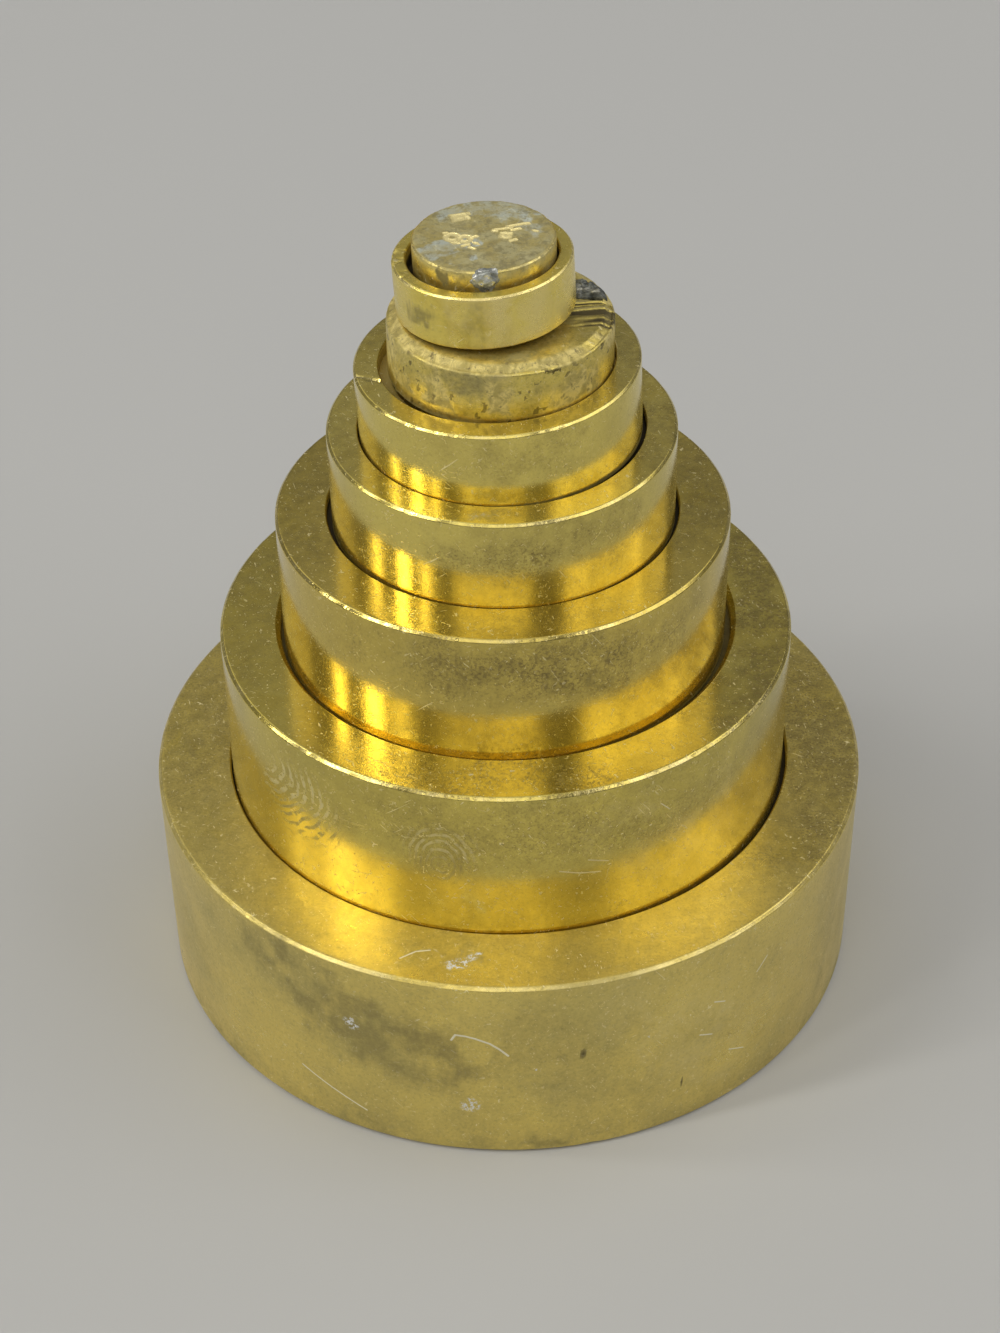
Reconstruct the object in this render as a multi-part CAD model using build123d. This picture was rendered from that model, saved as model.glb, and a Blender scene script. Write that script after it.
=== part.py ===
from build123d import *
import os
from math import pi, sin, cos, tan, radians, sqrt

# Nested cup weights: eight turned brass weights of a doubling series, stood one on
# another as a stepped tower. Millimetres, +Z up, origin at the centre of the base.

# ---- driving dimensions -------------------------------------------------------
R1 = 22.4            # outer radius of the largest weight; everything scales from it
BRASS = 8.5e-3       # g per cubic millimetre
OUNCE = 28.3495      # grams; the largest weight is four ounces
GAP = 0.02           # air between a foot and the seat it stands on
SEAT = 0.035 * R1    # depth of the mouth that takes the next weight's foot

# outer radii of the weights
r = {1: 1.0000 * R1, 2: 0.7842 * R1, 3: 0.6056 * R1, 4: 0.4561 * R1,
     5: 0.3671 * R1, 6: 0.2876 * R1, 7: 0.2259 * R1, 8: 0.1788 * R1}
# mouth radii: the next weight's foot and its play; and the width of the lead-in at the lip
mouth = {1: r[2] + 0.20, 2: r[3] + 0.30, 3: r[4] + 0.28, 4: r[5] + 0.16,
         5: r[6] + 0.33, 7: r[8] + 0.25}
lead_in = {1: 0.10, 2: 0.30, 3: 0.08, 4: 0.06, 5: 0.06, 7: 0.08}
# radius of the deeper well below each mouth (the ledge left round it is the seat)
well = {1: 0.745 * R1, 2: 0.573 * R1, 3: 0.429 * R1, 4: 0.345 * R1, 5: 0.270 * R1}
foot_recess_r = 0.2345 * R1       # shallow recess of the inverted weight, facing down

# height of each top face at its centre, and where that centre is in plan: each weight
# stands against the front of the mouth that holds it
top = {1: 0.6218 * R1, 2: 1.0798 * R1 + 0.105, 3: 1.4439 * R1 + 0.267, 4: 1.6998 * R1 + 0.490,
       5: 1.8957 * R1 + 0.564, 6: 2.0365 * R1 + 0.679, 7: 2.1951 * R1 + 0.655, 8: 2.2428 * R1 + 0.648}
cx = {1: 0.0, 2: -0.0036 * R1, 3: -0.0073 * R1, 4: -0.0069 * R1,
      5: -0.0172 * R1, 6: -0.0068 * R1, 7: -0.0497 * R1, 8: -0.0460 * R1}
cy = {1: 0.0, 2: -0.14, 3: -0.39, 4: -0.768, 5: -0.937, 6: -1.176, 7: -1.176, 8: -1.176}
# lean of each weight in degrees: rise towards +X, rise towards +Y
lean = {1: (0, 0), 2: (0, 0), 3: (0, 0), 4: (0.37, 1.41), 5: (2.16, 0.94),
        6: (-0.38, 0.93), 7: (2.90, 0.53), 8: (1.60, 1.24)}

# edge breaks
c_out = {1: 0.22, 2: 0.20, 3: 0.18, 4: 0.16, 5: 0.14, 6: 0.12, 7: 0.12, 8: 0.10}
WORN = (0.62, 0.42)   # worn bevel on the inverted weight's foot: inward, down

# adjusting lead in the foot of the inverted weight
PLUG_R, PLUG_DEEP, PLUG_PROUD = 2.15, 1.30, 0.42
PLUG_XY = (3.95, 1.15)            # from the weight's axis, in its own plane
# adjusting solder on the side of the smallest weight
DROP_HALF_W, DROP_OUT = 0.62, 0.13

target = {k: 4 * OUNCE / 2 ** (k - 1) / BRASS for k in range(1, 9)}   # volumes


def turned(points):
    """Solid of revolution about Z from a half section (radius, height)."""
    with BuildPart() as b:
        with BuildSketch(Plane.XZ):
            with BuildLine():
                Polyline(*points, close=True)
            make_face()
        revolve(axis=Axis.Z)
    return b.part


def place(shape, k, base):
    """Lean the weight, then set its top centre where the table above puts it."""
    a, b = lean[k]
    s = shape.rotate(Axis.X, b).rotate(Axis.Y, -a)
    ax = axis_of(k)
    h = height[k]
    return s.moved(Location((cx[k] - ax[0] * h, cy[k] - ax[1] * h, top[k] - ax[2] * h)))


def axis_of(k):
    """Unit axis of a leaning weight: Ry(-a) Rx(b) applied to +Z."""
    a, b = radians(lean[k][0]), radians(lean[k][1])
    return (-sin(a) * cos(b), -sin(b), cos(a) * cos(b))


def rel_lean(k, j):
    """Angle between the axes of two weights, in radians."""
    u, v = axis_of(k), axis_of(j)
    n = sqrt(sum((p * q - s * t) ** 2 for p, q, s, t in
                 ((u[1], v[2], u[2], v[1]), (u[2], v[0], u[0], v[2]), (u[0], v[1], u[1], v[0]))))
    return n


# ---- heights: from the seat below to the weight's own top face ------------------
height = {1: top[1]}
for k in (2, 3, 4, 5, 6):
    lift = r[k] * sin(rel_lean(k, k - 1)) + GAP        # a leaning foot stands on one edge
    height[k] = (top[k] - (top[k - 1] - SEAT) - lift) / cos(rel_lean(k, k - 1))
height[7] = top[7] - top[6] - r[7] * sin(rel_lean(7, 6)) - GAP
height[8] = target[8] / (pi * r[8] ** 2)
mouth_depth = {k: SEAT for k in (1, 2, 3, 4, 5)}
mouth_depth[7] = height[8] - (top[8] - top[7]) + r[8] * sin(rel_lean(8, 7)) + GAP + 0.03


def cup(k):
    """A cup weight, foot on Z=0: edge breaks, mouth, and the well under the mouth."""
    R, H, c, d, s = r[k], height[k], c_out[k], mouth[k], mouth_depth[k]
    body = [(0, 0), (R - c, 0), (R, c), (R, H - c), (R - c, H),
            (d + lead_in[k], H), (d, H - lead_in[k]), (d, H - s)]
    if k not in well:
        return turned(body + [(0, H - s)]), 0.0
    w = well[k]
    plain = turned(body + [(0, H - s)])
    deep = (plain.volume - target[k]) / (pi * w ** 2)   # well cut until the mass is right
    return turned(body + [(w, H - s), (w, H - s - deep), (0, H - s - deep)]), deep


os.makedirs("parts", exist_ok=True)
out = {}
names = {1: "weight_1_base_cup", 2: "weight_2_cup", 3: "weight_3_cup", 4: "weight_4_cup",
         5: "weight_5_cup", 6: "weight_6_inverted_cup", 7: "weight_7_cup",
         8: "weight_8_solid_disc"}
info = {}
for k in (1, 2, 3, 4, 5, 7):
    shape, deep = cup(k)
    info[k] = deep
    out[names[k]] = place(shape, k, 0)

# ---- weight 6: upside down, its recess facing down and its worn foot on top ------
R, H, c = r[6], height[6], c_out[6]
wi, wd = WORN
pocket_v = pi * PLUG_R ** 2 * PLUG_DEEP
solid_v = turned([(0, 0), (R - c, 0), (R, c), (R, H - wd), (R - wi, H), (0, H)]).volume
recess = max(0.5, (solid_v - pocket_v - target[6]) / (pi * foot_recess_r ** 2))
w6 = turned([(0, recess), (foot_recess_r, recess), (foot_recess_r, 0), (R - c, 0), (R, c),
             (R, H - wd), (R - wi, H), (0, H)])
info[6] = recess
pocket = Pos(PLUG_XY[0], PLUG_XY[1], H - PLUG_DEEP) * Cylinder(
    PLUG_R, PLUG_DEEP + 2, align=(Align.CENTER, Align.CENTER, Align.MIN))
w6 = w6 - pocket
out[names[6]] = place(w6, 6, 0)

# the lead: fills the pocket and stands a little proud, flush inside the bevelled rim
lump = turned([(0, 0), (PLUG_R, 0), (PLUG_R, PLUG_DEEP + 0.12),
               (PLUG_R - 0.55, PLUG_DEEP + PLUG_PROUD), (0, PLUG_DEEP + PLUG_PROUD)])
lump = Pos(PLUG_XY[0], PLUG_XY[1], H - PLUG_DEEP) * lump
trim = turned([(0, 0), (R, 0), (R, H - wd), (R - wi, H), (R - wi - 0.25, H + 1), (0, H + 1)])
out["adjusting_lead_plug"] = place(lump & trim, 6, 0)

# ---- weight 8: plain solid disc --------------------------------------------------
R, H, c = r[8], height[8], c_out[8]
disc = turned([(0, 0), (R - c, 0), (R, c), (R, H - c), (R - c, H), (0, H)])
out[names[8]] = place(disc, 8, 0)

# solder drop on the front of the disc: a thin lens standing out of its side
band = turned([(R, 0.35), (R + DROP_OUT, 0.45), (R + DROP_OUT, H - 0.30), (R, H - 0.12)])
block = Pos(0, -R, H / 2) * Box(2 * DROP_HALF_W, 2.0, 2 * H)
out["adjusting_solder_drop"] = place(band & block, 8, 0)

for name, shape in out.items():
    solids = shape.solids()
    assert len(solids) == 1, (name, len(solids))
    export_step(solids[0], "parts/%s.step" % name)

for k in range(1, 9):
    print("weight %d  D %.2f  H %.2f  well/recess %.2f  volume %.1f  mass %.2f g (target %.2f)" % (
        k, 2 * r[k], height[k], info.get(k, 0), out[names[k]].volume,
        out[names[k]].volume * BRASS, target[k] * BRASS))
print("mouth depth of weight 7: %.3f" % mouth_depth[7])
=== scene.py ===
import math
import bpy
import numpy as np
from math import sin, cos, tan, pi, radians, sqrt
from mathutils import Matrix, Vector


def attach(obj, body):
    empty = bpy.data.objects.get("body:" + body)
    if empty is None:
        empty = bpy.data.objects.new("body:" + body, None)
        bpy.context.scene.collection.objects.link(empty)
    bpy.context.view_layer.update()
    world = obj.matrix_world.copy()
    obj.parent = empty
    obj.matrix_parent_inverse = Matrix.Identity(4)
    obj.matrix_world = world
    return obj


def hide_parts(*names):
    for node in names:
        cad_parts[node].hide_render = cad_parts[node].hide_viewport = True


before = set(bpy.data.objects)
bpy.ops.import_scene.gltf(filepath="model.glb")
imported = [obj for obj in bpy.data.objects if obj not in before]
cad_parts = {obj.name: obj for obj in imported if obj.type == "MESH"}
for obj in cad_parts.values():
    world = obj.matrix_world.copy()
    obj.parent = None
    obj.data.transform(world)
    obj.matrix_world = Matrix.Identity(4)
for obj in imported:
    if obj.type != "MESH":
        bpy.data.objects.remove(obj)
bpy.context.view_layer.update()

MM = 0.001
R1 = 22.4
SEAT = 0.035 * R1
# the construction's own numbers, in millimetres (outer radius, mouth radius, well radius)
R = {1: R1, 2: .7842 * R1, 3: .6056 * R1, 4: .4561 * R1, 5: .3671 * R1, 6: .2876 * R1, 7: .2259 * R1, 8: .1788 * R1}
MOUTH = {1: R[2] + .20, 2: R[3] + .30, 3: R[4] + .28, 4: R[5] + .16, 5: R[6] + .33, 7: R[8] + .25}
LEAD_IN = {1: .10, 2: .30, 3: .08, 4: .06, 5: .06, 7: .08}
WELL = {1: .745 * R1, 2: .573 * R1, 3: .429 * R1, 4: .345 * R1, 5: .270 * R1}
TOP = {1: .6218 * R1, 2: 1.0798 * R1 + .105, 3: 1.4439 * R1 + .267, 4: 1.6998 * R1 + .490, 5: 1.8957 * R1 + .564,
       6: 2.0365 * R1 + .679, 7: 2.1951 * R1 + .655, 8: 2.2428 * R1 + .648}
CX = {1: 0.0, 2: -.0036 * R1, 3: -.0073 * R1, 4: -.0069 * R1, 5: -.0172 * R1, 6: -.0068 * R1, 7: -.0497 * R1, 8: -.0460 * R1}
CY = {1: 0.0, 2: -.14, 3: -.39, 4: -.768, 5: -.937, 6: -1.176, 7: -1.176, 8: -1.176}
LEAN = {1: (0, 0), 2: (0, 0), 3: (0, 0), 4: (.37, 1.41), 5: (2.16, .94), 6: (-.38, .93), 7: (2.90, .53), 8: (1.60, 1.24)}
C_OUT = {1: .22, 2: .20, 3: .18, 4: .16, 5: .14, 6: .12, 7: .12, 8: .10}
DEEP = {1: 8.95, 2: 7.02, 3: 5.66, 4: 1.47, 5: 0.93, 7: 0.0}


def axis_of(k):
    a, b = radians(LEAN[k][0]), radians(LEAN[k][1])
    return Vector((-sin(a) * cos(b), -sin(b), cos(a) * cos(b)))


def rel(k, j):
    return axis_of(k).cross(axis_of(j)).length


H = {1: TOP[1]}
for k in (2, 3, 4, 5, 6):
    t = rel(k, k - 1)
    H[k] = (TOP[k] - (TOP[k - 1] - SEAT) - (R[k] * t + .02)) / sqrt(1 - t * t)
H[7] = TOP[7] - TOP[6] - R[7] * rel(7, 6) - .02
H[8] = 4 * 28.3495 / 128 / 8.5e-3 / (pi * R[8] ** 2)
MDEPTH = {k: SEAT for k in (1, 2, 3, 4, 5)}
MDEPTH[7] = H[8] - (TOP[8] - TOP[7]) + R[8] * rel(8, 7) + .05


def matrix_of(k):
    """Local frame of weight k (origin at the centre of its foot, millimetres) to the row frame in metres."""
    a, b = radians(LEAN[k][0]), radians(LEAN[k][1])
    rot = Matrix.Rotation(-a, 4, 'Y') @ Matrix.Rotation(b, 4, 'X')
    ax = rot @ Vector((0, 0, 1))
    loc = Vector((CX[k], CY[k], TOP[k])) - ax * H[k]
    return Matrix.Translation(loc * MM) @ rot


# ------------------------------------------------------------------ noise in numpy
def _hash(ix, iy, iz, seed):
    h = (ix * 374761393 + iy * 668265263 + iz * 2147483647 + seed * 1274126177) & 0xFFFFFFFF
    h = ((h ^ (h >> 13)) * 1274126177) & 0xFFFFFFFF
    h = (h ^ (h >> 16)) & 0xFFFFFFFF
    return h.astype(np.float64) / 4294967295.0


def vnoise(p, seed=0):
    """Smooth value noise in -1..1 at points p (n, 3)."""
    i = np.floor(p).astype(np.int64)
    f = p - i
    u = f * f * f * (f * (f * 6 - 15) + 10)
    out = 0
    for dx in (0, 1):
        wx = u[:, 0] if dx else 1 - u[:, 0]
        for dy in (0, 1):
            wy = u[:, 1] if dy else 1 - u[:, 1]
            for dz in (0, 1):
                wz = u[:, 2] if dz else 1 - u[:, 2]
                out = out + wx * wy * wz * _hash(i[:, 0] + dx, i[:, 1] + dy, i[:, 2] + dz, seed)
    return out * 2 - 1


def fbm(p, scale, octaves=4, seed=0, gain=.5):
    out, a, s = 0, 1.0, scale
    for o in range(octaves):
        out = out + a * vnoise(p * s + 17.3 * o, seed + o)
        a *= gain
        s *= 2.03
    return out


def smooth(x, a, b):
    t = np.clip((x - a) / (b - a), 0, 1)
    return t * t * (3 - 2 * t)


# ------------------------------------------------------------------ turned meshes
def line(p, q, step):
    """Points from p up to but not including q."""
    n = max(1, int(math.ceil(math.hypot(q[0] - p[0], q[1] - p[1]) / step)))
    return [(p[0] + (q[0] - p[0]) * i / n, p[1] + (q[1] - p[1]) * i / n) for i in range(n)]


def rounded(corners, steps):
    """Closed-at-the-axis profile: corners are (r, z, rounding radius); steps the sampling on each following run."""
    pts = []
    n = len(corners)
    ends = []
    for i, (r, z, rad) in enumerate(corners):
        if rad <= 0 or i == 0 or i == n - 1:
            ends.append([(r, z)])
            continue
        a, b = corners[i - 1], corners[i + 1]
        va = np.array([a[0] - r, a[1] - z]); vb = np.array([b[0] - r, b[1] - z])
        la, lb = np.linalg.norm(va), np.linalg.norm(vb)
        va, vb = va / la, vb / lb
        ang = math.acos(max(-1, min(1, va @ vb)))
        d = min(rad / tan(ang / 2), la * .45, lb * .45)
        rr = d * tan(ang / 2)
        c = np.array([r, z]) + (va + vb) / np.linalg.norm(va + vb) * (rr / sin(ang / 2))
        p0 = np.array([r, z]) + va * d
        p1 = np.array([r, z]) + vb * d
        a0 = math.atan2(*(p0 - c)[::-1]); a1 = math.atan2(*(p1 - c)[::-1])
        da = (a1 - a0 + pi) % (2 * pi) - pi
        m = 6
        ends.append([tuple(c + rr * np.array([cos(a0 + da * j / m), sin(a0 + da * j / m)])) for j in range(m + 1)])
    for i in range(n):
        pts += ends[i]
        if i < n - 1:
            p, q = ends[i][-1], ends[i + 1][0]
            L = math.hypot(q[0] - p[0], q[1] - p[1])
            if L < 1e-6:
                continue
            pts += line(p, q, steps[i])[1:]
    clean = [pts[0]]
    for p in pts[1:]:
        if math.hypot(p[0] - clean[-1][0], p[1] - clean[-1][1]) > 1e-5:
            clean.append(p)
    return clean


class Turned:
    """A lathe mesh in millimetres, whose vertices are shaped before the object is made."""

    def __init__(self, name, profile, nseg):
        self.name, self.nseg = name, nseg
        prof = np.array(profile, float)
        self.prof = prof
        inner = prof[1:-1]
        th = np.arange(nseg) * 2 * pi / nseg
        self.th = np.repeat(th[None], len(inner), 0).ravel()     # measured from -Y towards +X
        self.r0 = np.repeat(inner[:, 0], nseg)
        self.z0 = np.repeat(inner[:, 1], nseg)
        d = np.gradient(prof, axis=0)[1:-1]
        nn = np.stack([d[:, 1], -d[:, 0]], 1)
        nn /= np.linalg.norm(nn, axis=1)[:, None] + 1e-12
        self.nr = np.repeat(nn[:, 0], nseg)
        self.nz = np.repeat(nn[:, 1], nseg)
        self.r, self.z = self.r0.copy(), self.z0.copy()
        self.attr = {}
        self.ends = [prof[0, 1], prof[-1, 1]]
        self.rings = len(inner)

    def xyz(self):
        return np.stack([self.r * np.sin(self.th), -self.r * np.cos(self.th), self.z], 1)

    def push(self, amount):
        """Moves each vertex along the profile's outward normal."""
        self.r = self.r + self.nr * amount
        self.z = self.z + self.nz * amount

    def mark(self, name, value):
        self.attr[name] = np.clip(self.attr.get(name, 0) + value, 0, 1)

    def build(self, k, materials):
        n, m = self.nseg, self.rings
        self.z = np.clip(self.z, 0, H[k] - .003)
        self.r = np.minimum(self.r, R[k] - .002)
        v = np.concatenate([[[0, 0, self.ends[0]]], self.xyz(), [[0, 0, self.ends[1]]]]) * MM
        i = np.arange(m - 1)[:, None] * n + np.arange(n)[None] + 1
        j = np.arange(m - 1)[:, None] * n + (np.arange(n)[None] + 1) % n + 1
        quads = np.stack([i, j, j + n, i + n], -1).reshape(-1, 4)
        a = np.arange(n) + 1
        b = (np.arange(n) + 1) % n + 1
        tri0 = np.stack([np.zeros(n, int), b, a], -1)
        last = (m - 1) * n
        tri1 = np.stack([np.full(n, len(v) - 1), a + last, b + last], -1)
        me = bpy.data.meshes.new(self.name)
        me.from_pydata(v.tolist(), [], tri0.tolist() + quads.tolist() + tri1.tolist())
        me.validate()
        me.update()
        for name, value in self.attr.items():
            at = me.attributes.new(name, 'FLOAT', 'POINT')
            full = np.zeros(len(v), np.float32)
            full[1:-1] = value
            full[0], full[-1] = value[0], value[-1]
            at.data.foreach_set('value', full)
        me.shade_smooth()
        me.set_sharp_from_angle(angle=radians(50))
        o = bpy.data.objects.new(self.name, me)
        bpy.context.scene.collection.objects.link(o)
        for mat in (materials if isinstance(materials, (list, tuple)) else [materials]):
            me.materials.append(mat)
        o.matrix_world = matrix_of(k)
        return o


def wrap(a):
    return (a + pi) % (2 * pi) - pi


def nick(t, th_deg, width, depth, at_r, at_z, reach):
    """A small dent at one place on an edge: width along the edge, reach across it."""
    u = wrap(t.th - radians(th_deg)) * at_r
    w = np.hypot(t.r0 - at_r, t.z0 - at_z)
    t.push(-depth * np.exp(-(u / width) ** 2) * np.exp(-(w / reach) ** 2))


def spot(t, x=None, y=None, th=None, r=None, z=None, sx=1.0, sy=1.0, turn=0.0, edge=.35, rough=.5, seed=0, freq=.9):
    """Soft irregular patch, 0..1 per vertex: on a wall at (th, z) or on a face at (x, y) or (th, r)."""
    if th is not None and z is not None:
        u = wrap(t.th - radians(th)) * t.r0
        v = t.z0 - z
        keep = (np.abs(t.nr) > .6) & (t.nr > 0)
    else:
        if x is None:
            x, y = r * sin(radians(th)), -r * cos(radians(th))
        u = t.r0 * np.sin(t.th) - x
        v = -t.r0 * np.cos(t.th) - y
        keep = t.nz > .6
    c, s = cos(radians(turn)), sin(radians(turn))
    d = np.hypot((u * c + v * s) / sx, (-u * s + v * c) / sy)
    p = np.stack([u, v, np.full_like(u, seed * 3.1)], 1)
    d = d + rough * fbm(p, freq, 4, seed)
    return smooth(-d, -1 - edge, -1 + edge) * keep


# ------------------------------------------------------------------ materials
class Mat:
    """Small helper that writes shader nodes; positions are in millimetres in the piece's own frame."""

    def __init__(self, name):
        self.m = bpy.data.materials.new(name)
        self.m.use_nodes = True
        self.t = self.m.node_tree
        self.t.nodes.clear()
        self.out = self.t.nodes.new('ShaderNodeOutputMaterial')
        self.b = self.t.nodes.new('ShaderNodeBsdfPrincipled')
        self.t.links.new(self.b.outputs['BSDF'], self.out.inputs['Surface'])
        tc = self.t.nodes.new('ShaderNodeTexCoord')
        self.P = self.vmath('SCALE', tc.outputs['Object'], s=1000.0)
        sep = self.t.nodes.new('ShaderNodeSeparateXYZ')
        self.t.links.new(self.P, sep.inputs[0])
        self.x, self.y, self.z = sep.outputs
        self.rad = self.math('SQRT', self.math('ADD', self.math('MULTIPLY', self.x, self.x), self.math('MULTIPLY', self.y, self.y)))
        self.th = self.math('ARCTAN2', self.x, self.math('MULTIPLY', self.y, -1.0))

    def put(self, sock, v):
        if hasattr(v, 'links') or hasattr(v, 'is_linked'):
            self.t.links.new(v, sock)
        elif isinstance(v, (tuple, list)) and len(v) == 3 and sock.type == 'RGBA':
            sock.default_value = (*v, 1)
        else:
            sock.default_value = v

    def math(self, op, a, b=None, c=None, clamp=False):
        n = self.t.nodes.new('ShaderNodeMath')
        n.operation, n.use_clamp = op, clamp
        self.put(n.inputs[0], a)
        if b is not None:
            self.put(n.inputs[1], b)
        if c is not None:
            self.put(n.inputs[2], c)
        return n.outputs[0]

    def vmath(self, op, a, b=None, s=None):
        n = self.t.nodes.new('ShaderNodeVectorMath')
        n.operation = op
        self.put(n.inputs[0], a)
        if b is not None:
            self.put(n.inputs[1], b)
        if s is not None:
            self.put(n.inputs['Scale'], s)
        return n.outputs['Value'] if op in ('LENGTH', 'DOT_PRODUCT', 'DISTANCE') else n.outputs['Vector']

    def vec(self, x, y, z):
        n = self.t.nodes.new('ShaderNodeCombineXYZ')
        for i, v in enumerate((x, y, z)):
            self.put(n.inputs[i], v)
        return n.outputs[0]

    def noise(self, v, scale, detail=4, rough=.55, distort=0.0):
        n = self.t.nodes.new('ShaderNodeTexNoise')
        self.put(n.inputs['Vector'], v)
        n.inputs['Scale'].default_value = scale
        n.inputs['Detail'].default_value = detail
        n.inputs['Roughness'].default_value = rough
        n.inputs['Distortion'].default_value = distort
        return n.outputs['Fac']

    def voro(self, v, scale, feature='F1', rand=1.0):
        n = self.t.nodes.new('ShaderNodeTexVoronoi')
        n.feature = feature
        self.put(n.inputs['Vector'], v)
        n.inputs['Scale'].default_value = scale
        n.inputs['Randomness'].default_value = rand
        return n.outputs['Distance']

    def step(self, v, a, b):
        """Smooth ramp from 0 at a to 1 at b."""
        n = self.t.nodes.new('ShaderNodeMapRange')
        n.interpolation_type = 'SMOOTHSTEP'
        self.put(n.inputs['Value'], v)
        n.inputs['From Min'].default_value = a
        n.inputs['From Max'].default_value = b
        return n.outputs['Result']

    def mix(self, f, a, b):
        n = self.t.nodes.new('ShaderNodeMix')
        n.data_type = 'RGBA'
        self.put(n.inputs[0], f)
        self.put(n.inputs[6], a)
        self.put(n.inputs[7], b)
        return n.outputs[2]

    def fmix(self, f, a, b):
        n = self.t.nodes.new('ShaderNodeMix')
        n.data_type = 'FLOAT'
        self.put(n.inputs[0], f)
        self.put(n.inputs[2], a)
        self.put(n.inputs[3], b)
        return n.outputs[0]

    def attr(self, name):
        n = self.t.nodes.new('ShaderNodeAttribute')
        n.attribute_name = name
        return n.outputs['Fac']

    def turned_about(self, euler, scale, shift=(0, 0, 0)):
        n = self.t.nodes.new('ShaderNodeVectorRotate')
        n.rotation_type = 'EULER_XYZ'
        self.t.links.new(self.P, n.inputs['Vector'])
        n.inputs['Rotation'].default_value = [radians(v) for v in euler]
        return self.vmath('ADD', self.vmath('MULTIPLY', n.outputs[0], tuple(scale)), tuple(shift))

    def bump(self, h, dist, strength=1.0, prev=None):
        n = self.t.nodes.new('ShaderNodeBump')
        self.put(n.inputs['Height'], h)
        n.inputs['Distance'].default_value = dist * MM
        n.inputs['Strength'].default_value = strength
        if prev is not None:
            self.t.links.new(prev, n.inputs['Normal'])
        return n.outputs['Normal']

    def mul(self, *a):
        v = a[0]
        for b in a[1:]:
            v = self.math('MULTIPLY', v, b)
        return v

    def most(self, *a):
        v = a[0]
        for b in a[1:]:
            v = self.math('MAXIMUM', v, b)
        return v

    def less(self, a):
        return self.math('SUBTRACT', 1.0, a)

    def segment(self, p, q, width, soft):
        """1 on the straight hairline from p to q (points in space, mm), 0 away from it."""
        p, q = Vector(p), Vector(q)
        d = q - p
        L = d.length
        d = d / L
        rel_ = self.vmath('SUBTRACT', self.P, tuple(p))
        along = self.vmath('DOT_PRODUCT', rel_, tuple(d))
        al = self.math('MINIMUM', self.math('MAXIMUM', along, 0.0), L)
        near = self.vmath('SCALE', tuple(d), s=al)
        dist = self.vmath('DISTANCE', rel_, near)
        return self.less(self.step(dist, width, width + soft))


def scratch_field(m, euler, seed, length=.14, fine=2.6, cut=.72, width=.05):
    """Straight random hairlines: noise stretched along one direction and kept only near its peaks."""
    v = m.turned_about(euler, (length, fine, fine), (seed * 3.7, seed * 1.9, seed * 5.3))
    n = m.noise(v, 1.0, 2, .6, 0)
    return m.step(n, cut, cut + width)


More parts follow.
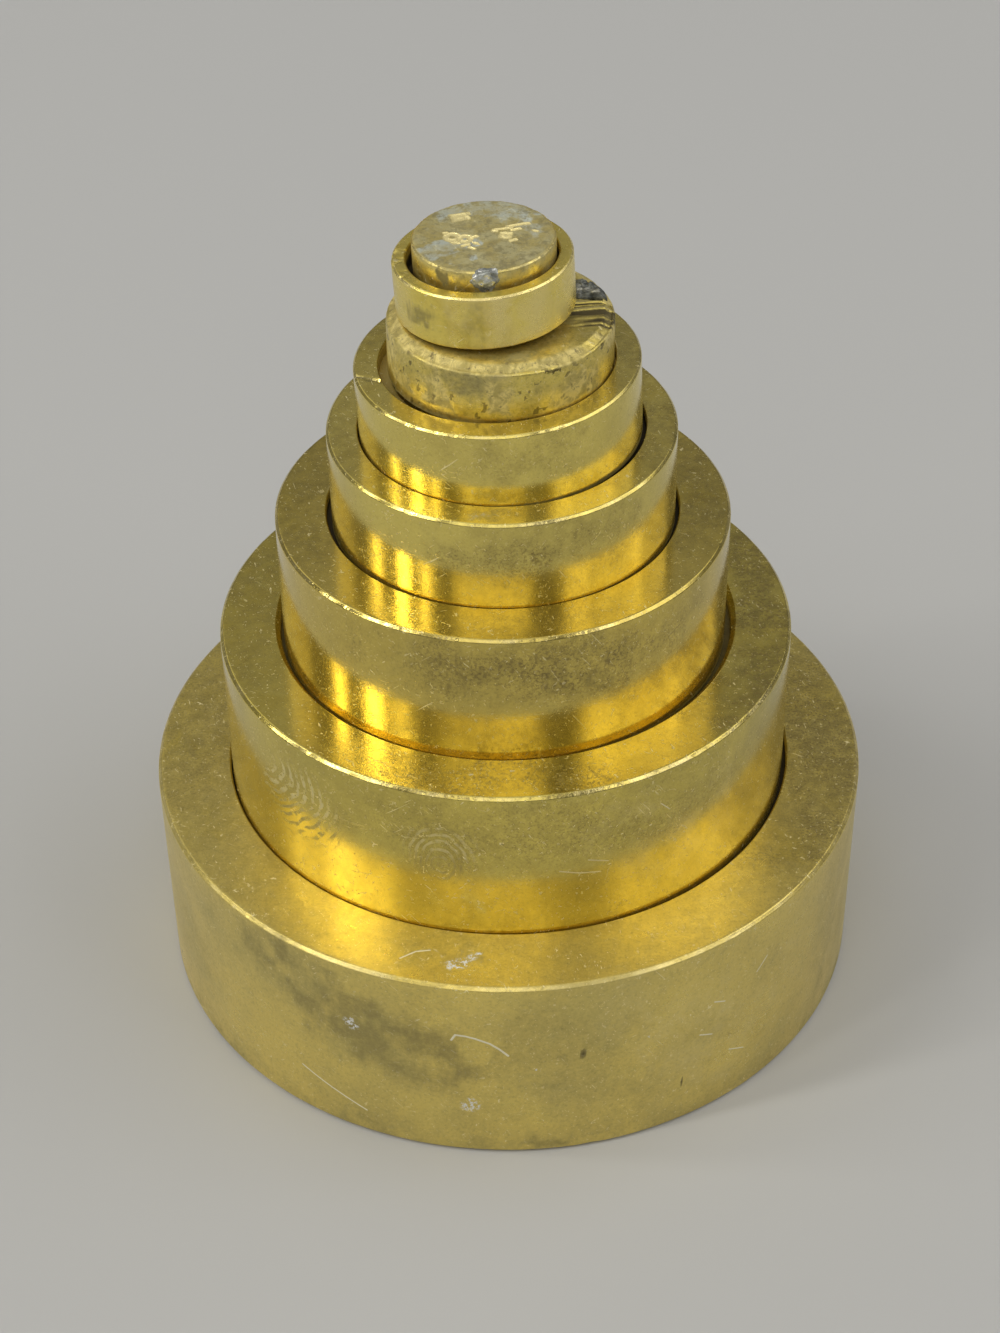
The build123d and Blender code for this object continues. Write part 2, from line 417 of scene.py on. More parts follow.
def brass(name, tone=(.80, .62, .150), dull=(.50, .40, .110), rough=.17, satin=.10, blotch=.5, speck=.4,
          scr=1.0, turn=1.0, seed=1.0, extra=None, grain=1.0, grit_amt=.6):
    """Aged turned brass. Attributes on the mesh: stain_and_shade (brown stains, and painted shade at the joins and dark
    painted reflection bands), grey (pale deposit), painted_shade (painted shade in the mouths, gaps and grooves),
    wear_and_sheen (bright bare edge, and painted light on some walls), mottle (dense tarnish), pits."""
    m = Mat(name)
    off = m.vmath('ADD', m.P, (seed * 11.3, seed * 7.1, seed * 5.9))
    # hairlines left by the lathe: run round the axis on walls and faces alike
    arc = m.math('MULTIPLY', m.th, .9)
    ring = m.vec(arc, m.math('MULTIPLY', m.rad, 5.0), m.math('MULTIPLY', m.z, 5.0))
    lathe = m.noise(m.vmath('ADD', ring, (seed * 3.0, seed, 0)), 1.0, 5, .65)
    ring2 = m.vec(m.math('MULTIPLY', m.th, 3.0), m.math('MULTIPLY', m.rad, 22.0), m.math('MULTIPLY', m.z, 22.0))
    lathe2 = m.noise(ring2, 1.0, 3, .6)
    # broad tone, blotches, fine speckle
    broad = m.noise(off, .11, 4, .55, .4)
    mid = m.noise(off, .55, 6, .62, .6)
    fine = m.noise(off, 2.6, 6, .7)
    micro = m.noise(off, 9.0, 3, .65)
    stain_and_shade, grey, painted_shade = m.attr('stain_and_shade'), m.attr('grey'), m.attr('painted_shade')
    wear_and_sheen, mottle, pits = m.attr('wear_and_sheen'), m.attr('mottle'), m.attr('pits')
    tone_f = m.math('ADD', m.mul(m.step(broad, .36, .66), blotch), m.mul(m.step(mid, .45, .75), .35 * blotch), clamp=True)
    col = m.mix(tone_f, tone, dull)
    # greenish film and warm brown film
    green = m.mul(m.step(m.noise(off, .23, 5, .6, .8), .50, .70), .28 * blotch)
    col = m.mix(green, col, (.42, .40, .17))
    warm = m.attr('warm')
    wf = m.mul(warm, m.step(m.noise(m.vmath('ADD', off, (7.0, 3.0, 1.0)), .75, 6, .68, .6), .30, .66))
    col = m.mix(wf, col, (.70, .53, .080))
    grit = m.noise(off, 5.0, 4, .72)
    col = m.mix(m.mul(m.step(grit, .52, .64), .36 * grit_amt), col, (.30, .245, .085))
    col = m.mix(m.mul(m.less(m.step(grit, .36, .47)), .30 * grit_amt), col, (.92, .76, .30))
    # fine dark specks, denser where mottled
    sp = m.math('ADD', m.step(fine, .60, .70), m.mul(m.step(micro, .62, .72), .6), clamp=True)
    sp_amt = m.math('ADD', m.math('MULTIPLY', mottle, .85), speck * .25, clamp=True)
    dense = m.step(m.math('ADD', m.noise(off, 5.6, 3, .6), m.mul(mottle, .05)), .50, .68)
    veil = m.mul(mottle, m.step(m.noise(off, 1.3, 5, .6), .20, .70))
    col = m.mix(m.mul(veil, .66), col, (.275, .215, .070))
    sp_all = m.mul(m.math('MAXIMUM', m.mul(sp, .8), m.mul(dense, mottle)), sp_amt)
    col = m.mix(m.mul(sp_all, .80), col, (.190, .140, .042))
    matt = m.attr('matt')
    col = m.mix(m.mul(matt, m.step(mid, .30, .55), .85), col, (.62, .46, .13))
    # random hairlines, some bright, some dark
    s1 = scratch_field(m, (13, 37, 62), seed + 1, .16, 2.4, .70, .04)
    s2 = scratch_field(m, (45, 20, 40), seed + 2, .26, 6.5, .705, .04)
    s3 = scratch_field(m, (50, -35, 130), seed + 3, .30, 6.0, .70, .04)
    s4 = scratch_field(m, (22, -61, 118), seed + 4, .30, 3.6, .69, .05)
    s5 = scratch_field(m, (-45, -20, 40), seed + 5, .32, 7.0, .70, .04)
    s6 = scratch_field(m, (10, 5, 75), seed + 6, .24, 6.5, .70, .04)
    s7 = scratch_field(m, (71, -28, 15), seed + 7, .22, 6.0, .70, .04)
    # curved ones: thin level lines of a slow noise, kept only in short runs
    wind = m.math('ABSOLUTE', m.math('SUBTRACT', m.noise(off, .9, 2, .5, .5), .5))
    run = m.step(m.noise(m.vmath('ADD', off, (31.0, 17.0, 5.0)), 1.9, 3, .6), .58, .62)
    s8 = m.mul(m.less(m.step(wind, .004, .009)), run)
    lines = m.mul(m.most(s1, s2, s3, s4, s5, s6, s7, s8), scr)
    bright = m.mul(m.most(m.mul(s1, .55), m.mul(s4, .55), s2, m.mul(s3, .7), s5, s6, m.mul(s7, .5), m.mul(s8, .9)), .85 * scr)
    col = m.mix(bright, col, (.98, .86, .46))
    # stains and deposits; the stain mask also carries painted shade at the joins and dark painted reflection bands
    stain_shade_amt = m.math('MULTIPLY', stain_and_shade, m.step(m.math('ADD', m.math('MULTIPLY', stain_and_shade, .6), m.math('MULTIPLY', fine, .7)), .30, .90))
    col = m.mix(m.mul(stain_shade_amt, .80), col, (.185, .155, .060))
    gr = m.math('MULTIPLY', grey, m.step(m.math('ADD', m.math('MULTIPLY', grey, .75), m.math('ADD', m.math('MULTIPLY', fine, .45), m.math('MULTIPLY', grit, .40))), .80, 1.0))
    col = m.mix(m.mul(gr, .95), col, (.72, .71, .65))
    # bright bare metal on worn edges; the same mask carries painted light and bright painted reflection bands on some
    # walls
    wear_sheen_amt = m.mul(wear_and_sheen, m.step(m.math('ADD', m.math('MULTIPLY', wear_and_sheen, .55), m.math('MULTIPLY', mid, .7)), .45, .75))
    col = m.mix(m.mul(wear_sheen_amt, .85), col, (.93, .78, .34))
    pt = m.mul(pits, m.step(m.math('ADD', pits, m.math('MULTIPLY', fine, .5)), .55, .8))
    col = m.mix(m.mul(pt, .9), col, (.070, .055, .030))
    # painted shade: near-black laid in the mouths, the gaps between weights, the file grooves and the hidden feet of
    # the walls
    shade_amt = m.mul(painted_shade, m.step(m.math('ADD', painted_shade, m.math('MULTIPLY', m.math('SUBTRACT', fine, .5), .8)), .25, .7))
    col = m.mix(m.mul(shade_amt, .96), col, (.030, .021, .010))
    # roughness
    ro = m.math('ADD', rough, m.mul(tone_f, .10))
    ro = m.math('ADD', ro, m.mul(m.math('SUBTRACT', lathe, .5), .12 * turn))
    ro = m.math('ADD', ro, m.mul(m.math('SUBTRACT', mid, .5), .16))
    ro = m.math('ADD', ro, m.mul(m.math('SUBTRACT', grit, .5), .15 * grit_amt))
    ro = m.math('ADD', ro, m.mul(sp_all, .22))
    ro = m.math('ADD', ro, m.mul(m.math('MAXIMUM', stain_shade_amt, gr), .30))
    ro = m.math('ADD', ro, m.mul(lines, .20))
    ro = m.math('ADD', ro, m.mul(shade_amt, .45))
    ro = m.math('ADD', ro, m.mul(matt, .25))
    ro = m.math('ADD', ro, m.mul(wear_sheen_amt, -.06), clamp=True)
    # bumps: lathe hairlines, hairline scratches, orange-peel from age, pitting
    nrm = m.bump(m.mul(m.math('ADD', lathe, m.math('MULTIPLY', lathe2, .5)), turn), .0035 * grain, .9)
    nrm = m.bump(m.noise(off, .8, 4, .6), .012 * grain, .7, nrm)
    nrm = m.bump(m.math('ADD', fine, m.math('MULTIPLY', micro, .4)), .0038 * grain, .8, nrm)
    nrm = m.bump(m.less(lines), .004, .9, nrm)
    nrm = m.bump(m.less(m.math('MAXIMUM', pt, m.mul(sp_all, .4))), .010, .8, nrm)
    metal = m.less(m.most(m.mul(shade_amt, .9), m.mul(gr, .75), m.mul(stain_shade_amt, .5), m.mul(sp_all, .5)))
    metal = m.mul(metal, m.less(m.mul(m.math('ADD', .55, m.mul(tone_f, .45)), satin)))
    metal = m.mul(metal, m.less(m.mul(bright, .5)), m.less(m.mul(matt, .65)))
    parts = dict(m=m, off=off, mid=mid, fine=fine, micro=micro, lathe=lathe)
    if extra:
        col, ro, nrm, metal = extra(parts, col, ro, nrm, metal)
    m.put(m.b.inputs['Base Color'], col)
    m.put(m.b.inputs['Roughness'], ro)
    m.put(m.b.inputs['Metallic'], metal)
    m.put(m.b.inputs['Normal'], nrm)
    return m.m


# ------------------------------------------------------------------ the weights
def cup_profile(k, edge=None, fine=.35):
    Rk, h, c, d, s = R[k] - .004, H[k], edge or C_OUT[k], MOUTH[k], MDEPTH[k]
    big = max(.45, Rk / 28)
    w = WELL.get(k)
    pts = [(0, 0, 0), (Rk - 1.0, 0, 0), (Rk - c, 0, .05), (Rk, c, .05), (Rk, 1.0, 0), (Rk, h - 1.0, 0),
           (Rk, h - c, c * .75), (Rk - c, h, c * .75)]
    steps = [big * 2, fine * .6, .06, fine * .5, big, fine * .35, .03]
    li = LEAD_IN[k]
    wide = Rk - c - d - li
    a, b = Rk - c - min(.6, wide * .3), d + li + min(.5, wide * .3)
    pts += [(a, h, 0), (b, h, 0), (d + li, h, min(.10, li * .5)), (d, h - li, min(.10, li * .5)), (d, h - s, .04)]
    steps += [fine * .3, big * .7, fine * .3, .04, .16]
    if w:
        pts += [(w + .06, h - s, .03), (w, h - s - .06, .03), (w, h - s - DEEP[k], .15), (0, h - s - DEEP[k], 0)]
        steps += [.2, .04, big, big * 2]
    else:
        pts += [(0, h - s, 0)]
        steps += [.3]
    steps.append(1)
    return rounded(pts, steps)


def cup_base(k, nseg, edge_noise=.018, seed=0, profile=None, soft=.35):
    """A cup with its edge wear, painted shade in the mouth and round the foot of its wall, and bright worn rims."""
    t = Turned('brass_weight_%d' % k, profile or cup_profile(k), nseg)
    Rk, h, c = R[k], H[k], C_OUT[k]
    p = np.stack([np.cos(t.th) * Rk, np.sin(t.th) * Rk, t.z0 * .6], 1)
    top = np.exp(-((t.r0 - Rk) ** 2 + (t.z0 - h) ** 2) / (c * 1.6) ** 2)
    foot = np.exp(-((t.r0 - Rk) ** 2 + t.z0 ** 2) / (c * 1.6) ** 2)
    t.push(-edge_noise * (fbm(p, .55, 4, seed + 5) * .6 + .5) * (top + foot * .8))
    # small random nicks round the top edge
    rng = np.random.default_rng(100 + k + seed)
    for _ in range(int(10 + Rk * 1.1)):
        nick(t, rng.uniform(0, 360), rng.uniform(.06, .22), rng.uniform(.01, .05), Rk, h, rng.uniform(.08, .2))
    for _ in range(int(6 + Rk * .5)):
        nick(t, rng.uniform(0, 360), rng.uniform(.08, .3), rng.uniform(.01, .05), Rk, 0, rng.uniform(.08, .2))
    wear_and_sheen = np.exp(-((t.r0 - Rk) ** 2 + (t.z0 - h) ** 2) / (c * .95) ** 2)
    wear_and_sheen = wear_and_sheen * (.72 + .5 * fbm(p, .8, 3, seed + 9))
    foot_w = .5 * np.exp(-((t.r0 - Rk) ** 2 + t.z0 ** 2) / (c * .9) ** 2)
    if k in MOUTH:
        d, s = MOUTH[k], MDEPTH[k]
        # painted shade: the inner wall and floor of the mouth are darkened down in the gap round the weight above
        inside = (t.r0 < d + .02) & (t.z0 < h - LEAD_IN[k] - .02)
        fade = np.where(t.z0 > h - s - .2, (.30 if k == 5 else 1.0) * smooth(h - t.z0, LEAD_IN[k] + .24, LEAD_IN[k] + (.68 if k == 5 else .58)), (.20 if k == 5 else .75) - .20 * smooth(-t.r0, -d * .7, 0))
        t.mark('warm', np.where((t.r0 < d + LEAD_IN[k] + .05) & (t.z0 > h - s - .05), .8, 0))
        t.mark('matt', np.where(inside & (t.z0 > h - s - (.1 if k == 5 else 0)), .8, 0))
        t.mark('painted_shade', np.where(inside, fade, 0))
        lip = np.exp(-((t.r0 - d - LEAD_IN[k]) ** 2 + (t.z0 - h) ** 2) / .08 ** 2)
        wear_and_sheen = np.maximum(wear_and_sheen, lip * (.30 + .5 * fbm(p, .9, 3, seed + 11)))
    t.mark('wear_and_sheen', np.maximum(wear_and_sheen, foot_w))
    for a in ('stain_and_shade', 'grey', 'mottle', 'pits', 'painted_shade', 'warm', 'matt'):
        t.mark(a, np.zeros_like(t.th))
    ring_face = (t.nz > .6) & (t.z0 > h - .3)
    t.mark('warm', ring_face * (.42 + .30 * fbm(p, .25, 3, seed + 31)) * (1 - .75 * np.exp(-((t.xyz()[:, 0] / (Rk * .55)) ** 2)) * (t.xyz()[:, 1] < 0)))
    t.mark('mottle', ring_face * (.22 if k > 1 else .10))
    # painted shade on the part of a wall that stands inside the mouth below, and a band of painted shade just above
    # that mouth's lip; the wall also turns warmer towards the lip
    if k in (2, 3, 4, 5):
        t.mark('painted_shade', .75 * smooth(-(t.z0 + .04 * fbm(p, 1.3, 3, seed + 21)), -(SEAT - .22), -(SEAT - .50)) * (t.nr > -.5))
        t.mark('warm', .85 * smooth(-(t.z0 + .25 * fbm(p, 1.1, 4, seed + 22)), -(SEAT + .95), -(SEAT + .05)) * (t.nr > .5))
        t.mark('stain_and_shade', .18 * smooth(-(t.z0 + .25 * fbm(p, 1.1, 4, seed + 22)), -(SEAT + .40), -(SEAT - .05)) * (t.nr > .5))
    return t


def weight_1():
    t = cup_base(1, 1024, .020, 1)
    t.mark('stain_and_shade', .42 * spot(t, th=-33, z=12.0, sx=2.6, sy=1.3, turn=-24, edge=1.0, rough=.7, seed=1, freq=.7))
    t.mark('stain_and_shade', .46 * spot(t, th=-24, z=9.6, sx=6.8, sy=3.0, turn=-22, edge=1.0, rough=.7, seed=2, freq=.5))
    t.mark('stain_and_shade', .52 * spot(t, th=-24.6, z=9.0, sx=1.5, sy=1.2, edge=.9, rough=.7, seed=3))
    t.mark('stain_and_shade', .26 * spot(t, th=-20, z=7.4, sx=8.5, sy=4.6, turn=-12, edge=1.0, rough=1.0, seed=17, freq=.7))
    t.mark('stain_and_shade', .32 * spot(t, th=-21.6, z=7.9, sx=1.7, sy=.9, turn=-35, edge=.9, rough=.7, seed=4))
    t.mark('stain_and_shade', .34 * spot(t, th=-14.5, z=8.3, sx=.9, sy=.6, edge=.8, rough=.6, seed=5))
    t.mark('stain_and_shade', .30 * spot(t, th=-5, z=9.5, sx=7, sy=2.2, turn=-10, edge=1.0, rough=.9, seed=14, freq=.5))
    t.mark('grey', .35 * spot(t, th=-6.3, z=4.6, sx=1.3, sy=.45, edge=.8, rough=.8, seed=8, freq=2.0))
    t.mark('stain_and_shade', .4 * spot(t, th=7, z=.9, sx=1.8, sy=.5, edge=.8, rough=.7, seed=9))
    t.mark('stain_and_shade', .30 * spot(t, th=64, z=6.5, sx=3.5, sy=5.5, edge=1.0, rough=.8, seed=10))
    t.mark('stain_and_shade', .28 * spot(t, th=-62, z=5.0, sx=5.0, sy=4.0, edge=1.0, rough=.8, seed=12))
    t.mark('grey', .3 * spot(t, th=52.5, z=7.1, sx=.5, sy=.25, turn=25, edge=.8, rough=.8, seed=13, freq=2))
    # the ring
    t.mark('stain_and_shade', .55 * spot(t, x=-2.7, y=-19.9, sx=1.3, sy=.95, turn=20, edge=.9, rough=.9, seed=18, freq=1.6))
    t.mark('grey', .55 * spot(t, x=-2.5, y=-19.7, sx=1.0, sy=.85, turn=20, edge=.9, rough=.9, seed=19, freq=1.6))
    t.mark('stain_and_shade', .6 * spot(t, x=-11.1, y=-17.75, sx=.7, sy=.55, edge=.6, rough=.7, seed=22, freq=1.6))
    t.mark('stain_and_shade', .45 * spot(t, x=-10.2, y=-18.4, sx=.35, sy=.3, edge=.6, rough=.7, seed=23, freq=1.6))
    t.mark('stain_and_shade', .6 * spot(t, x=10.7, y=-16.4, sx=.5, sy=.6, edge=.6, rough=.7, seed=24, freq=1.6))
    t.mark('grey', .7 * spot(t, x=9.8, y=-18.95, sx=.3, sy=.22, edge=.5, rough=.7, seed=25, freq=2.4))
    t.mark('grey', .7 * spot(t, x=10.85, y=-18.15, sx=.3, sy=.2, edge=.5, rough=.7, seed=26, freq=2.4))
    t.mark('mottle', .65 * spot(t, x=19.8, y=1.0, sx=3.5, sy=10, edge=.9, rough=.9, seed=27, freq=.4))
    t.mark('mottle', .30 * (t.nz > .6) * (t.z0 > H[1] - .3))
    t.mark('stain_and_shade', .42 * (t.nr > .6) * smooth(-t.z0, -3.4, -.3))
    t.mark('stain_and_shade', .30 * spot(t, x=17.5, y=-9.5, sx=3.5, sy=4, turn=40, edge=1.0, rough=.9, seed=15, freq=.6))
    t.mark('stain_and_shade', .28 * spot(t, x=-19.5, y=-2, sx=2.5, sy=7, edge=1.0, rough=.9, seed=16, freq=.5))
    # painted light: a broad brighter patch on the right of the wall
    t.mark('wear_and_sheen', .42 * spot(t, th=33, z=7.0, sx=8, sy=6, edge=1.0, rough=.6, seed=47, freq=.3))
    t.mark('mottle', .35 * spot(t, x=-19.5, y=4.0, sx=3.5, sy=9, edge=.9, rough=.9, seed=28, freq=.4))
    t.mark('mottle', .30 * spot(t, th=20, z=6, sx=14, sy=5, edge=1.0, rough=.9, seed=29, freq=.3))
    for th, z in ((8.8, 7.94), (9.7, 7.96), (10.5, 8.15), (2, 11.2), (-48, 6.1), (27, 3.3), (44, 10.2)):
        t.mark('pits', spot(t, th=th, z=z, sx=.16, sy=.13, edge=.4, rough=.5, seed=int(th * 3) % 50, freq=5))
    nick(t, -3, .30, .05, R[1], H[1], .15)
    nick(t, 36, .22, .06, R[1], H[1], .15)
    nick(t, -44, .3, .05, R[1], H[1], .2)
    nick(t, 12, .5, .06, R[1], 0, .25)

    def extra(p, col, ro, nrm, metal):
        m = p['m']

        def on_wall(th, z, r=R[1]):
            a = radians(th)
            return (r * sin(a), -r * cos(a), z)
        wig = [on_wall(-9.3, 9.58), on_wall(-8.7, 10.03), on_wall(-7.2, 9.98), on_wall(-5.7, 9.83), on_wall(-3.5, 9.46),
               on_wall(-2.0, 8.98), on_wall(-.8, 8.47)]
        seg = [m.segment(a, b, .045, .05) for a, b in zip(wig, wig[1:])]
        seg += [m.segment(on_wall(-35, 3.69), on_wall(-31, 3.05), .02, .06), m.segment(on_wall(-31, 3.05), on_wall(-27, 2.45), .02, .06),
                m.segment(on_wall(-27, 2.45), on_wall(-23.5, 1.9), .02, .06)]
        seg += [m.segment(on_wall(32.5, 9.1), on_wall(34.5, 8.73), .02, .05), m.segment(on_wall(30, 6.83), on_wall(32.3, 6.41), .02, .05),
                m.segment(on_wall(41, 9.6), on_wall(43.2, 10.4), .015, .05), m.segment(on_wall(36, 4.2), on_wall(39, 3.6), .015, .05)]
        seg += [m.segment((-6.51, -19.68, H[1]), (-5.6, -19.15, H[1]), .02, .06), m.segment((-5.6, -19.15, H[1]), (-4.78, -19.06, H[1]), .02, .06)]
        chip = m.noise(p['off'], 4.6, 4, .75)
        chip = m.step(chip, .50, .56)
        dots = []
        for a, b, w_, f_ in (((-3.5, -20.3, H[1]), (-2.8, -20.15, H[1]), .26, .30), ((-2.9, -19.95, H[1]), (-2.3, -19.7, H[1]), .10, .26),
                             ((-2.0, -19.5, H[1]), (-1.9, -19.4, H[1]), .08, .16),
                             (on_wall(-25.8, 9.25), on_wall(-24.8, 9.1), .16, .28), (on_wall(-25.3, 9.5), on_wall(-25.2, 8.8), .08, .20),
                             (on_wall(-7.2, 4.0), on_wall(-6.1, 4.1), .20, .34), (on_wall(-6.6, 4.5), on_wall(-6.6, 3.8), .12, .25),
                             (on_wall(3.5, 7.2), on_wall(3.8, 7.1), .04, .10), (on_wall(21, 8.4), on_wall(21.2, 8.3), .04, .08)):
            dots.append(m.segment(a, b, w_, f_))
        speckle = m.mul(m.most(*dots), chip)
        col = m.mix(m.mul(speckle, .9), col, (.82, .83, .80))
        metal = m.mul(metal, m.less(m.mul(speckle, .85)))
        ro = m.math('ADD', ro, m.mul(speckle, .25), clamp=True)
        s = m.most(*seg)
        col = m.mix(m.mul(s, .9), col, (.95, .90, .66))
        metal = m.mul(metal, m.less(m.mul(s, .5)))
        ro = m.math('ADD', ro, m.mul(s, .25), clamp=True)
        nrm = m.bump(s, .012, .9, nrm)
        return col, ro, nrm, metal
    p1 = np.stack([np.cos(t.th) * R[1], np.sin(t.th) * R[1], t.z0 * 1.6], 1)
    t.attr['stain_and_shade'] = np.minimum(t.attr['stain_and_shade'], .76) * np.clip(.95 + .9 * fbm(p1, .45, 5, 49), .35, 1)
    mat = brass('aged_brass_weight_1', tone=(.86, .68, .185), dull=(.56, .46, .150), rough=.29, satin=.30, blotch=.55, speck=.40, scr=1.0,
                turn=1.0, seed=1.0, extra=extra, grain=1.1)
    return t.build(1, mat)


def weight_2():
    t = cup_base(2, 896, .018, 2)
    t.mark('mottle', .55 * spot(t, x=0, y=-15.8, sx=8, sy=1.6, edge=.9, rough=.8, seed=31, freq=.6))
    t.mark('mottle', .38 * spot(t, th=5, z=8.8, sx=12, sy=2.2, edge=1.0, rough=.7, seed=32, freq=.5))
    t.mark('mottle', .38 * spot(t, th=10, z=7.2, sx=17, sy=3.4, edge=.9, rough=.6, seed=30, freq=.35))
    t.mark('mottle', .85 * spot(t, x=15.5, y=-1, sx=3, sy=10, edge=.9, rough=.9, seed=33, freq=.5))
    t.mark('mottle', .4 * spot(t, x=-15.5, y=2, sx=3, sy=8, edge=.9, rough=.9, seed=34, freq=.5))
    t.mark('stain_and_shade', .35 * spot(t, th=-24, z=9.6, sx=.3, sy=.5, edge=.6, rough=.7, seed=35, freq=2))
    t.mark('grey', .8 * spot(t, x=-2.18, y=-15.42, sx=.22, sy=.14, turn=40, edge=.4, rough=.6, seed=36, freq=3))
    t.mark('grey', .7 * spot(t, x=.28, y=-15.04, sx=.16, sy=.12, edge=.4, rough=.6, seed=37, freq=3))
    # painted light: a broad brighter patch on the right of the wall
    t.mark('wear_and_sheen', .45 * spot(t, th=40, z=6.5, sx=7, sy=5, edge=1.0, rough=.6, seed=48, freq=.4))
    t.mark('stain_and_shade', .3 * spot(t, th=33, z=6.0, sx=2.4, sy=2.0, edge=.9, rough=.9, seed=38))
    nick(t, -16.5, .26, .07, R[2], H[2], .16)
    nick(t, -14.6, .16, .05, R[2], H[2], .14)
    nick(t, -9, .35, .05, R[2], H[2], .16)
    nick(t, -6, .25, .06, R[2], H[2], .16)
    nick(t, 38, .22, .06, R[2], H[2], .16)
    nick(t, 62, .30, .05, R[2], H[2], .16)

    def extra(p, col, ro, nrm, metal):
        m = p['m']
        u = m.math('MULTIPLY', m.th, R[2])
        total = None
        for th, z, sx, sy, per, kx, ky, cu, cv, amt, sd in ((-44.5, 6.7, 3.7, 3.1, .52, .85, 1.0, -3.1, 1.6, 1.0, 0.0), (-13.1, 6.7, 2.5, 2.3, .46, 1.1, .85, 0.0, -.9, .8, 4.0)):
            du = m.math('SUBTRACT', u, radians(th) * R[2])
            dz = m.math('SUBTRACT', m.z, z)
            # ridges: arches round a core near the print's edge, bent by slow noise
            a = m.math('MULTIPLY', m.math('SUBTRACT', du, cu), kx)
            b = m.math('MULTIPLY', m.math('SUBTRACT', dz, cv), ky)
            rr = m.math('SQRT', m.math('ADD', m.mul(a, a), m.mul(b, b)))
            bend = m.math('MULTIPLY', m.noise(m.vec(du, dz, sd), .38, 2, .5), 1.3)
            ph = m.math('MULTIPLY', m.math('ADD', rr, bend), 2 * pi / per)
            ridge = m.step(m.math('SINE', ph), -.25, .75)
            broken = m.step(m.noise(m.vec(du, dz, sd + 3.0), 2.4, 3, .6), .36, .56)
            e1 = m.math('DIVIDE', du, sx)
            e2 = m.math('DIVIDE', dz, sy)
            ell = m.math('SQRT', m.math('ADD', m.mul(e1, e1), m.mul(e2, e2)))
            ell = m.math('ADD', ell, m.math('MULTIPLY', m.math('SUBTRACT', m.noise(m.vec(du, dz, sd + 7.0), .8, 3, .6), .5), .7))
            inside = m.less(m.step(ell, .6, 1.05))
            f = m.mul(ridge, broken, inside, amt)
            total = f if total is None else m.math('MAXIMUM', total, f)
        # the prints are real marks; their ridges are painted darker low on the wall and paler higher up, painted
        # shading that follows the wall's reflections
        tint = m.mix(m.step(m.z, 5.6, 7.2), (.34, .27, .09), (.74, .65, .34))
        col = m.mix(m.mul(total, .70), col, tint)
        ro = m.math('ADD', ro, m.mul(total, .30), clamp=True)
        metal = m.mul(metal, m.less(m.mul(total, .50)))

        def on_wall(th, z, r=R[2]):
            a = radians(th)
            return (r * sin(a), -r * cos(a), z)
        s = m.most(m.segment(on_wall(9.5, 5.36), on_wall(13.4, 5.0), .012, .05), m.segment(on_wall(13.4, 5.0), on_wall(17.4, 4.8), .012, .05),
                   m.segment(on_wall(15, 5.9), on_wall(19, 5.5), .010, .04), m.segment(on_wall(30, 8.6), on_wall(32, 7.9), .010, .04))
        col = m.mix(m.mul(s, .8), col, (.93, .86, .62))
        ro = m.math('ADD', ro, m.mul(s, .25), clamp=True)
        return col, ro, nrm, metal
    mat = brass('aged_brass_weight_2', tone=(.81, .655, .150), dull=(.51, .42, .105), rough=.15, satin=.12, blotch=.5, speck=.45, scr=1.0,
                turn=.8, seed=2.0, extra=extra, grain=.8)
    return t.build(2, mat)


def weight_3():
    t = cup_base(3, 768, .018, 3)
    t.mark('mottle', .55 * spot(t, th=-3, z=7.0, sx=4.6, sy=1.8, edge=1.0, rough=.8, seed=41, freq=.7))
    t.mark('mottle', .28 * spot(t, th=16, z=6.4, sx=4.4, sy=2.0, edge=1.0, rough=.8, seed=42, freq=.7))
    t.mark('mottle', .30 * spot(t, th=0, z=6.8, sx=16, sy=2.8, edge=.9, rough=.6, seed=40, freq=.4))
    t.mark('mottle', .4 * spot(t, th=42, z=6, sx=3, sy=2.6, edge=.9, rough=.9, seed=43, freq=.6))
    t.mark('stain_and_shade', .65 * spot(t, th=20.6, z=5.3, sx=.5, sy=.35, edge=.6, rough=.8, seed=44, freq=2))
    t.mark('stain_and_shade', .6 * spot(t, th=25.1, z=4.9, sx=.4, sy=.3, edge=.6, rough=.8, seed=45, freq=2))
    t.mark('stain_and_shade', .3 * spot(t, th=33, z=3.4, sx=1.6, sy=1.2, edge=.9, rough=.9, seed=46))
    t.mark('mottle', .6 * spot(t, x=12, y=1, sx=2.5, sy=7, edge=.9, rough=.9, seed=47, freq=.6))
    t.mark('mottle', .5 * spot(t, x=-12, y=2, sx=2.5, sy=7, edge=.9, rough=.9, seed=48, freq=.6))
    t.mark('mottle', .25 * spot(t, x=3, y=-12, sx=6, sy=1.5, edge=.9, rough=.9, seed=49, freq=.6))
    t.mark('grey', .5 * spot(t, x=1.5, y=-11.7, sx=.2, sy=.12, edge=.5, rough=.8, seed=50, freq=3))
    nick(t, -30, .2, .04, R[3], H[3], .14)
    nick(t, 20, .25, .05, R[3], H[3], .14)
    mat = brass('aged_brass_weight_3', tone=(.80, .62, .145), dull=(.48, .39, .105), rough=.125, satin=.12, blotch=.45, speck=.45, scr=.9,
                turn=.7, seed=3.0, grain=.8)
    return t.build(3, mat)


